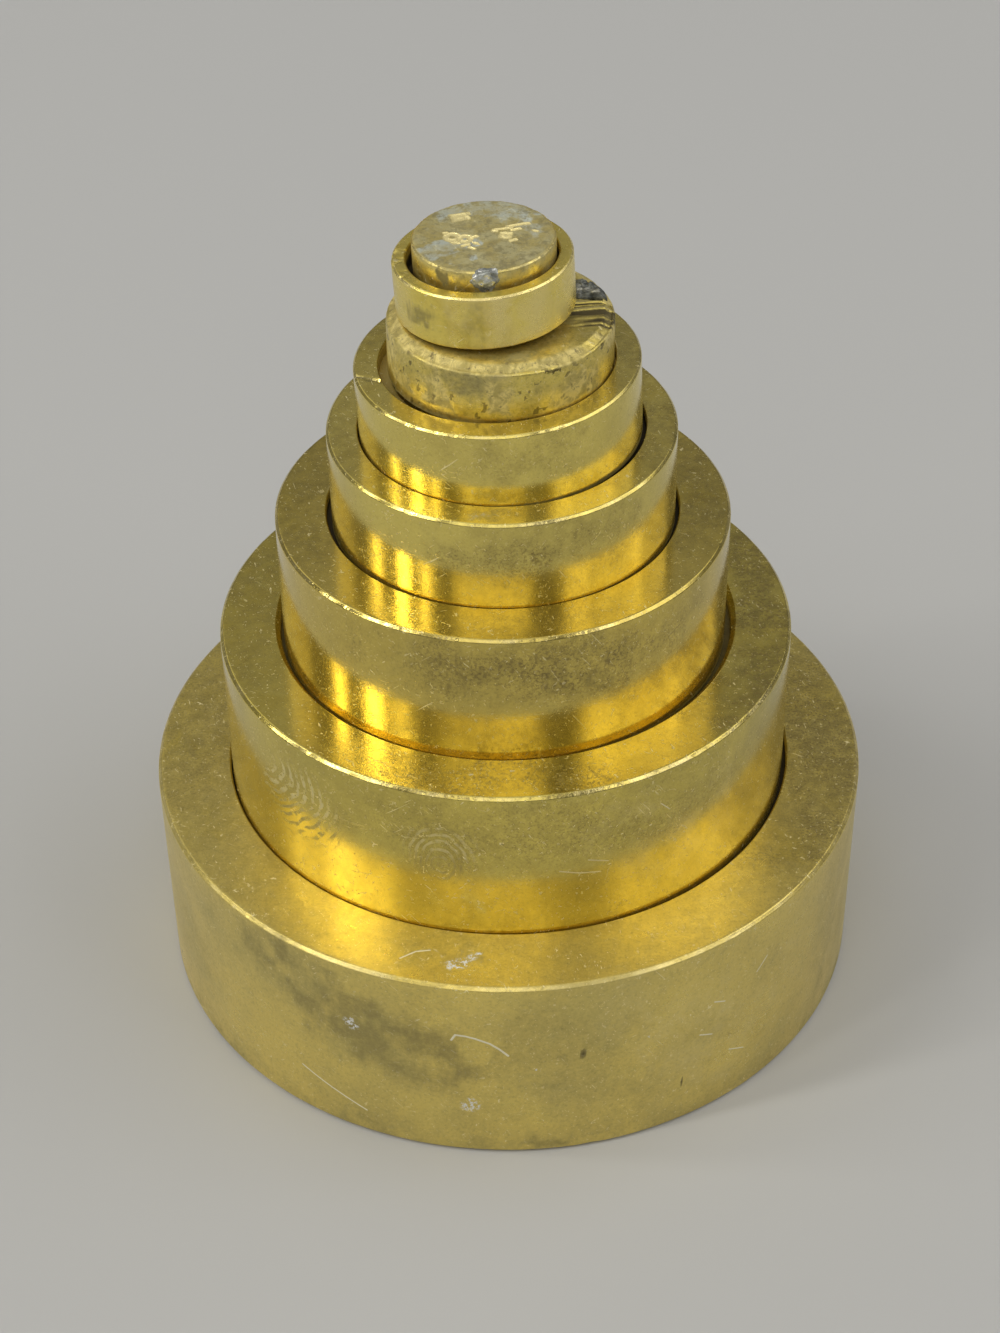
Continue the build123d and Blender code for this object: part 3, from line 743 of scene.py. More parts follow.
def weight_4():
    t = cup_base(4, 640, .016, 4)
    t.mark('mottle', .7 * spot(t, th=-2, z=4.2, sx=3.2, sy=1.7, edge=.8, rough=.8, seed=51, freq=.8))
    t.mark('mottle', .5 * spot(t, th=32, z=4.0, sx=3.0, sy=2.0, edge=.8, rough=.9, seed=52, freq=.8))
    t.mark('mottle', .6 * spot(t, x=9, y=-2, sx=2.2, sy=6, edge=.9, rough=.9, seed=53, freq=.7))
    t.mark('mottle', .35 * spot(t, x=-9.2, y=0, sx=1.8, sy=6, edge=.9, rough=.9, seed=54, freq=.7))
    t.mark('grey', .6 * spot(t, x=-1.19, y=-9.14, sx=1.0, sy=.4, turn=8, edge=.8, rough=.8, seed=55, freq=1.6))
    t.mark('stain_and_shade', .55 * spot(t, x=-1.0, y=-9.3, sx=1.2, sy=.5, turn=8, edge=.8, rough=.8, seed=56, freq=1.6))
    nick(t, -30.9, .22, .07, R[4], H[4], .15)
    nick(t, 14, .2, .04, R[4], H[4], .12)
    mat = brass('aged_brass_weight_4', tone=(.84, .69, .18), dull=(.54, .44, .125), rough=.14, satin=.14, blotch=.4, speck=.45, scr=.9,
                turn=.7, seed=4.0, grain=.8)
    return t.build(4, mat)


def weight_5():
    t = cup_base(5, 640, .014, 5)
    # a saw-like cut across the ring at the left, ending in a notch at the mouth
    a, b = np.array([-8.33, -1.22]), np.array([-6.70, -1.90])
    d = (b - a) / np.linalg.norm(b - a)
    x, y = t.r0 * np.sin(t.th), -t.r0 * np.cos(t.th)
    along = (x - a[0]) * d[0] + (y - a[1]) * d[1]
    off = (x - a[0]) * d[1] - (y - a[1]) * d[0]
    topm = (t.z0 > H[5] - .4) & (t.r0 > MOUTH[5] - .02)
    cut = np.exp(-(off / .075) ** 2) * smooth(along, -.35, -.05) * smooth(-along, -2.0, -1.75) * topm
    deep = .05 + .16 * smooth(along, 1.15, 1.75)
    t.z = t.z - cut * deep
    t.mark('wear_and_sheen', .8 * np.exp(-(off / .13) ** 2) * smooth(along, -.3, 0) * smooth(-along, -2.0, -1.7) * topm)
    nick(t, -73, .14, .10, MOUTH[5], H[5], .18)
    t.mark('mottle', .5 * spot(t, th=10, z=3.2, sx=3, sy=1.4, edge=.8, rough=.9, seed=61, freq=.9))
    t.mark('mottle', .5 * spot(t, x=7, y=1, sx=1.6, sy=5, edge=.9, rough=.9, seed=62, freq=.9))
    t.mark('mottle', .5 * spot(t, x=-5.5, y=4, sx=1.8, sy=3, edge=.9, rough=.9, seed=63, freq=.9))
    t.mark('stain_and_shade', .4 * spot(t, x=5.5, y=5, sx=1.5, sy=1.2, edge=.9, rough=.9, seed=64, freq=1.0))
    # one deeper turning line on the wall
    t.push(-.018 * np.exp(-((t.z0 - 2.95) / .05) ** 2) * (t.nr > .8))
    nick(t, 25, .2, .05, R[5], H[5], .12)
    nick(t, -55, .2, .04, R[5], H[5], .12)
    mat = brass('aged_brass_weight_5', tone=(.84, .69, .18), dull=(.55, .45, .13), rough=.165, satin=.16, blotch=.4, speck=.45, scr=.9,
                turn=.8, seed=5.0, grain=.8)
    return t.build(5, mat)


def dusty_film(p, col, ro, nrm, metal):
    """Greenish-grey film and dry, pale tan wear: both matt, with soft ragged borders."""
    m = p['m']
    film, dusty = m.attr('film'), m.attr('dusty')
    n1 = m.noise(p['off'], 1.5, 7, .68, .6)
    n2 = m.noise(p['off'], 4.2, 6, .72, .3)
    f = m.mul(film, m.step(m.math('ADD', m.math('MULTIPLY', film, .5), m.math('MULTIPLY', n1, .8)), .50, .95))
    shade = m.mix(m.step(n2, .40, .62), (.33, .29, .125), (.175, .155, .070))
    col = m.mix(m.mul(f, .78), col, shade)
    d = m.mul(dusty, m.step(m.math('ADD', m.math('MULTIPLY', dusty, .55), m.math('MULTIPLY', n2, .75)), .46, .92))
    pale = m.mix(m.step(n1, .40, .60), (.84, .70, .26), (.47, .385, .125))
    pale = m.mix(m.mul(m.step(p['fine'], .54, .66), .85), pale, (.17, .135, .06))
    col = m.mix(m.mul(d, .85), col, pale)
    both = m.math('MAXIMUM', f, d)
    ro = m.math('ADD', ro, m.mul(both, .24), clamp=True)
    metal = m.mul(metal, m.less(m.mul(both, .55)))
    nrm = m.bump(m.math('ADD', n1, m.math('MULTIPLY', n2, .7)), .016, .8, nrm)
    return col, ro, nrm, metal


LEAD_FRONT = .95
PLUG_R, PLUG_PROUD = 2.15, .42
PLUG_XY = (3.95, 1.15)
WORN = (.62, .42)


def weight_6():
    Rk, h, c = R[6] - .004, H[6], C_OUT[6]
    wi, wd = WORN
    rec, fr = .55, .2345 * R1
    pts = [(0, rec, 0), (fr, rec, .05), (fr, .08, 0), (fr + .08, 0, .03), (Rk - c, 0, .04), (Rk, c, .04), (Rk, .9, 0), (Rk, h - wd - .35, 0),
           (Rk, h - wd, .22), (Rk - wi, h, .30), (Rk - wi - .5, h, 0), (0, h, 0)]
    steps = [.4, .06, .04, .12, .04, .15, .12, .05, .05, .07, .065, 1]
    t = Turned('brass_weight_6_inverted', rounded(pts, steps), 576)
    p = t.xyz()
    x, y = p[:, 0], p[:, 1]
    bevel = np.exp(-((t.r0 - Rk + wi * .5) ** 2 + (t.z0 - h + wd * .5) ** 2) / .45 ** 2)
    rough_edge = fbm(p, .45, 4, 71) * .035 + fbm(p, 2.2, 3, 72) * .012
    t.push(-(rough_edge + .035) * bevel)
    # pits and dents on the worn edge
    rng = np.random.default_rng(66)
    for _ in range(40):
        a = rng.uniform(0, 360)
        f = rng.uniform(0, 1)
        nick(t, a, rng.uniform(.08, .25), rng.uniform(.012, .04), Rk - wi * f, h - wd * (1 - f), rng.uniform(.08, .2))
    for _ in range(14):
        nick(t, rng.uniform(0, 360), rng.uniform(.08, .25), rng.uniform(.02, .05), Rk, 0, rng.uniform(.08, .2))
    up = (t.nz > .5) & (t.z0 > h - .3)
    # unevenly worn foot: slow waves, fine scuffs
    dz = .012 * fbm(p, .5, 4, 73) + .005 * fbm(p, 3.0, 3, 74) - .02
    # coarse file strokes on the right, nearly along X, cut when the lead was dressed
    ca, sa = cos(radians(9)), sin(radians(9))
    v = -x * sa + y * ca
    u = x * ca + y * sa
    zone = smooth(u, 3.0, 3.9) * smooth(y, -4.6, -3.4) * smooth(-y, -LEAD_FRONT - .05, -LEAD_FRONT + .15)
    wave = vnoise(np.stack([u * .18, v * 3.9, np.full_like(u, 2.0)], 1), 75) + .45 * vnoise(np.stack([u * .3, v * 8.0, np.full_like(u, 5.0)], 1), 76)
    deepen = .30 + .70 * smooth(y, -2.4, -.9)
    cut = np.clip(wave + .15, 0, 1) * deepen
    dz = dz - zone * (.13 * cut + .02)
    # the pocket that the lead fills, open at the back of the file strokes
    dp = np.hypot(x - PLUG_XY[0], y - PLUG_XY[1])
    in_pocket = smooth(-dp, -(PLUG_R - .05), -(PLUG_R - .22)) * smooth(y + .12 * fbm(p, 1.6, 3, 86), LEAD_FRONT - .06, LEAD_FRONT + .10) * smooth(-y, -2.92, -2.80)
    dz = dz - .75 * in_pocket * (t.r0 < Rk - wi + .05)
    t.z = t.z + np.where(up, dz, 0)
    t.z = t.z - np.where(~up, zone * bevel * .07 * cut, 0)
    # scuffed pale metal on the bevel, painted shade in the hollows of the foot
    side6 = (t.nr > .6)
    t.mark('warm', .7 * side6 * smooth(-t.z0, -1.9, -.7))
    t.mark('dusty', .55 * side6 * smooth(fbm(p, .55, 4, 93), .0, .35))
    t.mark('pits', side6 * (fbm(p, 2.2, 3, 94) > .70) * .7)
    t.mark('wear_and_sheen', .40 * side6 * smooth(fbm(p, .6, 4, 95), -.2, .3))
    t.mark('dusty', np.clip(bevel * 1.15, 0, 1) * (.62 + .60 * fbm(p, .8, 4, 77)) * (1 - .75 * zone))
    t.mark('wear_and_sheen', np.clip(bevel, 0, 1) * np.clip(.15 + .9 * fbm(p, .7, 4, 91), 0, .8) * (1 - zone))
    t.mark('pits', np.clip(bevel, 0, 1) * (fbm(p, 2.6, 3, 92) > .55) * .8)
    t.mark('dusty', .45 * (t.nr > .5) * (t.z0 > .8) * np.clip(.6 + .6 * fbm(p, .45, 4, 87), 0, 1))
    t.mark('wear_and_sheen', zone * np.clip(-wave * .9, 0, 1) * .9 * (t.z0 > h - .6))
    # painted shade in the deep file grooves
    t.mark('painted_shade', .95 * zone * np.clip(cut * 2.6 - .55, 0, 1) * (t.z0 > h - .6))
    t.mark('film', .85 * spot(t, th=-14, z=2.85, sx=2.0, sy=.75, edge=1.0, rough=.7, seed=79, freq=.8))
    t.mark('film', .45 * spot(t, th=20, z=1.6, sx=3.5, sy=1.2, edge=1.0, rough=.9, seed=80, freq=.8))
    t.mark('film', .50 * spot(t, th=-45, z=1.4, sx=1.4, sy=.8, edge=1.0, rough=.9, seed=88, freq=1.0))
    t.mark('film', .55 * spot(t, th=52, z=1.5, sx=1.6, sy=1.2, edge=1.0, rough=.9, seed=89, freq=1.0))
    t.mark('mottle', .16 * (t.nr > .5))
    t.mark('film', .95 * spot(t, x=.95, y=-5.25, sx=1.5, sy=.50, turn=8, edge=.9, rough=.8, seed=82, freq=1.2))
    t.mark('stain_and_shade', .35 * spot(t, x=.9, y=-4.9, sx=1.2, sy=.5, turn=10, edge=.8, rough=.9, seed=83, freq=1.4))
    t.mark('stain_and_shade', .55 * spot(t, x=4.3, y=-1.3, sx=.8, sy=.5, edge=.7, rough=.9, seed=84, freq=1.6))
    t.mark('dusty', .55 * up * (1 - zone))
    t.mark('stain_and_shade', .25 * up)
    # painted shade round the lead's seam, on the wall's hidden foot inside weight 5's mouth, and in a band just above
    # that mouth's lip
    t.mark('painted_shade', .85 * smooth(-dp, -(PLUG_R + .10), -(PLUG_R - .1)) * up * smooth(y, LEAD_FRONT - .15, LEAD_FRONT + .1))
    t.mark('painted_shade', .60 * smooth(-(t.z0 + .05 * fbm(p, 1.3, 3, 85)), -(SEAT - .30), -(SEAT - .60)))
    t.mark('stain_and_shade', .30 * smooth(-(t.z0 + .20 * fbm(p, 1.2, 4, 90)), -(SEAT + .7), -(SEAT - .05)) * (t.nr > .5))
    rng = np.random.default_rng(67)
    for _ in range(34):
        th, z = rng.uniform(-180, 180), rng.uniform(.9, h - .5)
        s = rng.uniform(.04, .10)
        t.mark('pits', .8 * spot(t, th=th, z=z, sx=s, sy=s, edge=.5, rough=.6, seed=int(rng.integers(90)), freq=5))
    for a in ('grey', 'pits', 'painted_shade', 'stain_and_shade', 'mottle', 'film', 'dusty'):
        t.mark(a, np.zeros_like(t.th))
    mat = brass('aged_brass_weight_6', tone=(.88, .71, .17), dull=(.62, .50, .13), rough=.28, blotch=.6, speck=.6, scr=1.0,
                turn=.35, grit_amt=1.2, seed=6.0, grain=1.5, extra=dusty_film)
    return t.build(6, mat)


def weight_7():
    t = cup_base(7, 512, .014, 7)
    h, Rk = H[7], R[7]
    # chips knocked out of the rim at the left
    for th, at, w, dep in ((-96, Rk - .15, .26, .13), (-81, Rk - .1, .22, .12), (-92, Rk, .16, .10), (-84, Rk - .3, .14, .09), (-78, Rk, .12, .07), (-70, Rk - .45, .13, .08), (-64, Rk - .1, .10, .06),
                           (-100, MOUTH[7] + .1, .12, .07), (-88, MOUTH[7] + .25, .10, .06), (48, Rk, .10, .04), (140, Rk, .14, .06)):
        nick(t, th, w, dep, at, h, .14)
    t.mark('stain_and_shade', .85 * spot(t, th=-44, z=1.55, sx=.90, sy=.6, edge=.7, rough=.8, seed=91, freq=2))
    t.mark('grey', .55 * spot(t, th=-44, z=1.55, sx=.35, sy=.2, edge=.6, rough=.9, seed=92, freq=3))
    t.mark('grey', .55 * spot(t, x=-4.7, y=-.2, sx=.35, sy=.8, edge=.7, rough=.9, seed=93, freq=2))
    t.mark('stain_and_shade', .25 * spot(t, th=-6, z=2.1, sx=1.3, sy=.7, edge=.9, rough=.9, seed=94, freq=1.4))
    # painted reflection: bright vertical bands round the wall
    t.mark('wear_and_sheen', .45 * (t.nr > .5) * np.clip(.55 + .6 * np.sin(t.th * 5 + 1.2 + 1.6 * np.sin(t.th * 2.3)), 0, 1))
    # painted shade along the foot of the wall, where it stands on weight 6
    t.mark('stain_and_shade', .28 * smooth(-t.z0, -.55, -.1) * (t.nr > .5))
    t.mark('film', .45 * spot(t, th=-44, z=1.55, sx=1.3, sy=.8, edge=1.0, rough=.8, seed=95, freq=1.4))
    t.mark('film', .30 * spot(t, th=-70, z=1.6, sx=1.6, sy=1.6, edge=1.0, rough=.8, seed=96, freq=1.2))
    t.mark('film', .35 * spot(t, th=58, z=1.0, sx=1.6, sy=.7, edge=1.0, rough=.8, seed=97, freq=1.4))
    t.mark('dusty', .55 * spot(t, x=-4.6, y=.2, sx=.45, sy=1.3, edge=.8, rough=.8, seed=98, freq=1.8))
    # painted reflection: dark brown and bright vertical bands down the wall, darker and warmer in the middle
    for th, sx, amt in ((-9, .55, .34), (-1, .35, .30), (-24, .28, .26), (-33, .18, .20), (11, .20, .26), (34, .24, .20), (47, .18, .20), (-60, .30, .20)):
        t.mark('stain_and_shade', amt * spot(t, th=th, z=1.7, sx=sx, sy=3.0, edge=.9, rough=.25, seed=int(th) % 40 + 60, freq=1.2))
    t.mark('warm', 1.0 * spot(t, th=-5, z=1.7, sx=2.1, sy=3.0, edge=.9, rough=.5, seed=59, freq=.8))
    t.mark('wear_and_sheen', .6 * spot(t, th=24, z=1.8, sx=1.3, sy=3.0, edge=.9, rough=.3, seed=58, freq=.9))
    mat = brass('aged_brass_weight_7', extra=dusty_film, tone=(.95, .77, .17), dull=(.68, .55, .13), rough=.27, satin=.28, blotch=.4, speck=.25, scr=1.0,
                turn=.9, grit_amt=.35, seed=7.0, grain=.7)
    return t.build(7, mat)


def weight_8():
    Rk, h, c = R[8] - .004, H[8], C_OUT[8]
    pts = [(0, 0, 0), (Rk - c, 0, .03), (Rk, c, .04), (Rk, h - c, .05), (Rk - c, h, .05), (Rk - c - .4, h, 0), (0, h, 0)]
    steps = [.25, .04, .09, .03, .045, .05, 1]
    t = Turned('brass_weight_8_disc', rounded(pts, steps), 512)
    p = t.xyz()
    x, y = p[:, 0], p[:, 1]
    up = (t.nz > .5) & (t.z0 > h - .3)
    edge = np.exp(-((t.r0 - Rk) ** 2 + (t.z0 - h) ** 2) / .16 ** 2)
    t.push(-(.03 + .03 * fbm(p, 1.1, 4, 101) + .012 * fbm(p, 4, 3, 102)) * edge)
    rng = np.random.default_rng(88)
    for _ in range(22):
        nick(t, rng.uniform(0, 360), rng.uniform(.06, .16), rng.uniform(.015, .05), Rk, h, rng.uniform(.07, .14))
    nick(t, 118, .16, .07, Rk, h, .14)
    nick(t, 135, .20, .06, Rk, h, .14)
    # a slightly dished, hammered top
    dz = .012 * fbm(p, .7, 4, 103) + .005 * fbm(p, 4.0, 3, 104) - .02
    # plain punch marks: a small square, a cluster of lozenges and a rosette of dots, all raw metal
    raw = np.zeros_like(x)

    def punch(cx_, cy_, sx, sy, turn_, deep, kind='box'):
        nonlocal dz, raw
        a = radians(turn_)
        u = (x - cx_) * cos(a) + (y - cy_) * sin(a)
        v = -(x - cx_) * sin(a) + (y - cy_) * cos(a)
        if kind == 'box':
            d = np.maximum(np.abs(u) / sx, np.abs(v) / sy)
        elif kind == 'loz':
            d = np.abs(u) / sx + np.abs(v) / sy
        else:
            d = np.hypot(u / sx, v / sy)
        d = d + .10 * fbm(np.stack([x, y, x * 0], 1), 5, 2, 105)
        f = smooth(-d, -1.15, -.75)
        dz = dz - deep * f + deep * .35 * smooth(-d, -1.6, -1.1) * (1 - f)
        raw = np.maximum(raw, smooth(-d, -1.35, -.95))
    def ring(cx_, cy_, rad_, thick, deep):
        nonlocal dz, raw
        d = np.abs(np.hypot(x - cx_, (y - cy_) * .95) - rad_) / thick
        d = d + .14 * fbm(np.stack([x, y, x * 0], 1), 4, 2, 113)
        f = smooth(-d, -1.1, -.6)
        dz = dz - deep * f
        raw = np.maximum(raw, smooth(-d, -1.45, -.9))
    punch(-1.32, 2.10, .46, .38, 16, .045)
    punch(-1.25, 2.16, .17, .12, 16, -.035)
    punch(-.82, 2.45, .10, .16, 25, .03)
    ring(-1.72, -.10, .34, .15, .05)
    ring(-1.02, -.32, .31, .15, .05)
    for ox, oy, sx, sy, tr in ((-1.55, -.72, .34, .17, -20), (-.50, -.15, .20, .13, 35), (-.42, -.85, .30, .13, -38), (-.98, -1.02, .24, .12, 15),
                               (-.62, -1.35, .22, .10, -30), (-2.10, .38, .14, .12, 10)):
        punch(ox, oy, sx, sy, tr, .045, 'loz' if sx > .25 else 'box')
    punch(1.22, -.10, .46, .46, 38, .050, 'loz')
    punch(1.20, -.10, .15, .18, 38, -.035)
    for ox, oy, sx, sy, tr in ((1.05, .62, .50, .11, 8), (1.82, .98, .52, .12, 14), (1.78, .50, .30, .12, 20), (2.42, 1.08, .16, .12, 10),
                               (.62, .42, .17, .12, 0), (1.62, -.66, .22, .12, 30)):
        punch(ox, oy, sx, sy, tr, .045)
    punch(2.85, .25, .12, .20, 60, .035, 'dot')
    t.z = t.z + np.where(up, dz, 0)
    t.mark('raw', raw * up)
    t.mark('wear_and_sheen', edge * (.4 + .5 * fbm(p, 1.1, 3, 106)))
    t.mark('grey', .55 * spot(t, x=-2.2, y=-1.75, sx=1.05, sy=.65, turn=20, edge=.7, rough=.9, seed=107, freq=1.6))
    t.mark('grey', .5 * spot(t, x=.5, y=2.9, sx=2.2, sy=.9, edge=.8, rough=.9, seed=108, freq=1.2))
    t.mark('grey', .35 * spot(t, x=2.6, y=.8, sx=.9, sy=.6, edge=.8, rough=.9, seed=109, freq=1.6))
    t.mark('stain_and_shade', .35 * spot(t, x=2.0, y=1.9, sx=1.2, sy=.9, edge=.8, rough=.9, seed=110, freq=1.4))
    t.mark('stain_and_shade', .9 * spot(t, th=-32.6, z=1.45, sx=.40, sy=.45, edge=.6, rough=.8, seed=111, freq=2.5))
    # painted shade on the foot of the wall inside weight 7's mouth
    t.mark('painted_shade', .7 * smooth(-(t.z0 + .08 * fbm(p, 1.6, 3, 112)), -(MDEPTH[7] - .2), -(MDEPTH[7] - .7)) * (t.nr > .4))
    for a in ('grey', 'pits', 'painted_shade', 'stain_and_shade', 'mottle', 'warm'):
        t.mark(a, np.zeros_like(t.th))
    t.mark('patina', up * (1 - .97 * raw) * smooth(-t.r0, -(Rk - .02), -(Rk - .25)))
    wall = (t.nr > .5)
    cloud = fbm(p, .75, 4, 116)
    t.mark('blue', up * np.clip(spot(t, x=-2.1, y=-1.6, sx=1.5, sy=1.1, turn=20, edge=.8, rough=.9, seed=114, freq=1.2)
                                + .8 * spot(t, x=.3, y=2.8, sx=2.4, sy=1.0, edge=.8, rough=.9, seed=115, freq=1.0)
                                + .5 * spot(t, x=2.9, y=.6, sx=.8, sy=.9, edge=.8, rough=.9, seed=117, freq=1.4) + .25 * cloud, 0, 1))
    t.mark('patina', .55 * wall * smooth(cloud, -.05, .35))
    t.mark('stain_and_shade', .55 * up * (1 - raw) * smooth(fbm(p, .8, 5, 119), .10, .42))
    t.mark('stain_and_shade', .55 * wall * smooth(fbm(p, 1.3, 4, 118), .05, .40))
    t.mark('warm', .8 * wall * smooth(-t.z0, -1.7, -1.0))

    def extra(p_, col, ro, nrm, metal):
        m = p_['m']
        pat = m.attr('patina')
        f = m.mul(pat, m.step(m.noise(p_['off'], .9, 6, .65, .5), .30, .55))
        bl = m.step(m.math('ADD', m.attr('blue'), m.math('MULTIPLY', m.noise(p_['off'], 1.1, 6, .7, .4), .7)), .50, 1.0)
        tin = m.mix(m.step(m.noise(p_['off'], .62, 6, .68, .5), .42, .60), (.46, .38, .14), (.52, .47, .24))
        tin = m.mix(m.mul(bl, .90), tin, (.56, .61, .54))
        tin = m.mix(m.mul(m.step(m.noise(p_['off'], 1.9, 6, .72, .3), .47, .60), .75), tin, (.27, .235, .115))
        tin = m.mix(m.mul(m.step(p_['fine'], .52, .70), .55), tin, (.20, .175, .095))
        keep = m.less(m.mul(m.attr('grey'), .6))
        f = m.mul(m.math('ADD', m.math('MULTIPLY', f, .50), m.math('MULTIPLY', pat, .45)), keep)
        col = m.mix(f, col, tin)
        ro = m.math('ADD', ro, m.mul(f, .22), clamp=True)
        metal = m.mul(metal, m.less(m.mul(f, .50)))
        raw_ = m.attr('raw')
        rw = m.mul(raw_, m.step(m.math('ADD', raw_, m.math('MULTIPLY', p_['fine'], .5)), .45, .95))
        col = m.mix(m.mul(rw, .95), col, (1.0, .86, .40))
        metal = m.math('SUBTRACT', metal, m.mul(rw, .45), clamp=True)
        ro = m.math('SUBTRACT', ro, m.mul(rw, .12), clamp=True)
        nrm = m.bump(m.math('ADD', p_['fine'], m.math('MULTIPLY', p_['micro'], .5)), .010, .8, nrm)
        return col, ro, nrm, metal
    mat = brass('aged_brass_weight_8', tone=(.86, .70, .22), dull=(.58, .50, .20), rough=.30, satin=.22, blotch=.6, speck=.6, scr=1.1,
                turn=.3, grit_amt=1.2, seed=8.0, extra=extra, grain=1.2)
    return t.build(8, mat)


def degrees_(a):
    return a * 180 / pi


def soft_metal(name, dark, light, flash, rough, seed, grain=1.0):
    """Dull soft metal: lead or tin solder, oxidised in the low places and rubbed bright on the high ones."""
    m = Mat(name)
    off = m.vmath('ADD', m.P, (seed * 3.3, seed, seed * 2.1))
    a = m.noise(off, 1.7, 6, .65, .4)
    b = m.noise(off, 6.0, 5, .7)
    v = m.voro(m.vmath('ADD', off, (0, 0, 0)), 3.2)
    high = m.attr('high')
    col = m.mix(m.step(a, .38, .64), dark, light)
    col = m.mix(m.mul(m.step(b, .55, .75), .6), col, dark)
    rub = m.mul(high, m.step(m.math('ADD', m.math('MULTIPLY', high, .5), m.math('MULTIPLY', b, .6)), .52, .75))
    col = m.mix(m.mul(rub, .85), col, flash)
    ro = m.math('ADD', rough, m.mul(m.math('SUBTRACT', b, .5), .3))
    ro = m.math('SUBTRACT', ro, m.mul(rub, .22), clamp=True)
    nrm = m.bump(m.math('ADD', a, m.math('MULTIPLY', b, .5)), .05 * grain, .9)
    nrm = m.bump(v, .03 * grain, .6, nrm)
    m.put(m.b.inputs['Base Color'], col)
    m.put(m.b.inputs['Roughness'], ro)
    m.put(m.b.inputs['Metallic'], m.math('ADD', .45, m.mul(rub, .5)))
    m.put(m.b.inputs['Normal'], nrm)
    return m.m


def lead_plug():
    """Rough lump of lead in the foot of weight 6, in that weight's local frame; its front is filed away."""
    Rk, h = R[6], H[6]
    n, m = 220, 84
    rad = np.linspace(0, 1, m)
    th = np.arange(n) * 2 * pi / n
    T, Q = np.meshgrid(th, rad[1:])
    T, Q = T.ravel(), Q.ravel()
    cx_, cy_ = PLUG_XY[0] + .15, 2.05
    # outline: the pocket's circle behind, a ragged straight edge in front, the bevel at the side
    reach = np.full_like(T, 9.0)
    dx, dy = np.cos(T), np.sin(T)
    ox, oy = cx_ - PLUG_XY[0], cy_ - PLUG_XY[1]
    bq = ox * dx + oy * dy
    reach = -bq + np.sqrt(np.maximum(bq ** 2 - (ox ** 2 + oy ** 2 - (PLUG_R - .06) ** 2), 0))
    front = np.where(dy < -.05, (LEAD_FRONT + .04 - cy_) / np.minimum(dy, -.05), 9)
    back = np.where(dy > .05, (2.80 - cy_) / np.maximum(dy, .05), 9)
    lim = Rk - .22
    bo = cx_ * dx + cy_ * dy
    rim = -bo + np.sqrt(np.maximum(bo ** 2 - (cx_ ** 2 + cy_ ** 2 - lim ** 2), 0))
    edge_n = 1 + .05 * fbm(np.stack([np.cos(T) * 2, np.sin(T) * 2, T * 0], 1), 1.2, 3, 123)
    reach = np.minimum(np.minimum(np.minimum(reach, back), front * np.clip(edge_n, .9, 1.0)), rim)
    x = cx_ + reach * Q * dx
    y = cy_ + reach * Q * dy
    p = np.stack([x, y, x * 0], 1)
    n1 = fbm(p, .9, 3, 121)
    n2 = fbm(p, 2.4, 4, 122)
    crag = 1 - np.abs(vnoise(p * 1.5, 124)) * 1.6
    crag2 = 1 - np.abs(vnoise(p * 3.4 + 9, 125)) * 1.8
    lump = .42 + .40 * n1 + .20 * n2 + .22 * np.clip(crag, -.5, 1) - .26 * np.clip(crag2 - .45, 0, 1)
    top = .03 + (PLUG_PROUD - .05) * np.clip(lump, 0, 1) * smooth(1 - Q, 0, .16)
    # crevices that run across it
    u = x * .95 + y * .25
    v = -x * .25 + y * .95
    cr = np.abs(v + .22 * fbm(p, .9, 3, 126) - 1.35)
    cr2 = np.abs(v + .25 * fbm(p, 1.1, 3, 127) - .70)
    top = top - .20 * np.exp(-(cr / .10) ** 2) - .16 * np.exp(-(cr2 / .08) ** 2) * smooth(x, 4.2, 5.0)
    rr = np.hypot(x, y)
    cap = np.where(rr > Rk - WORN[0] - .05, -(rr - (Rk - WORN[0] - .05)) / WORN[0] * WORN[1] + .15 + .06 * n2, 9)
    top = np.clip(np.minimum(top, cap), -.30, PLUG_PROUD - .01)
    top = np.where(Q > .985, np.minimum(top, .0) - .04, top)
    z = h + top
    verts = [(cx_, cy_, float(z[:n].mean()))] + list(zip(x, y, z))
    faces = [(0, 1 + i, 1 + (i + 1) % n) for i in range(n)]
    for j in range(m - 2):
        for i in range(n):
            a, b = 1 + j * n + i, 1 + j * n + (i + 1) % n
            faces.append((a, a + n, b + n, b))
    base = len(verts)
    last = 1 + (m - 2) * n
    for i in range(n):
        verts.append((x[(m - 2) * n + i], y[(m - 2) * n + i], h - .70))
    verts.append((cx_, cy_, h - .70))
    for i in range(n):
        a, b = last + i, last + (i + 1) % n
        c, d = base + i, base + (i + 1) % n
        faces.append((a, c, d, b))
        faces.append((c, base + n, d))
    me = bpy.data.meshes.new('adjusting_lead')
    me.from_pydata([(q[0] * MM, q[1] * MM, q[2] * MM) for q in verts], [], faces)
    me.validate()
    at = me.attributes.new('high', 'FLOAT', 'POINT')
    hv = np.zeros(len(verts), np.float32)
    hv[1:base] = np.clip((z - h) / PLUG_PROUD, 0, 1)
    at.data.foreach_set('value', hv)
    me.shade_smooth()
    me.set_sharp_from_angle(angle=radians(45))
    o = bpy.data.objects.new('adjusting_lead', me)
    bpy.context.scene.collection.objects.link(o)
    me.materials.append(soft_metal('oxidised_lead', (.050, .055, .046), (.24, .25, .22), (.74, .72, .60), .46, 3.0))
    o.matrix_world = matrix_of(6)
    return o


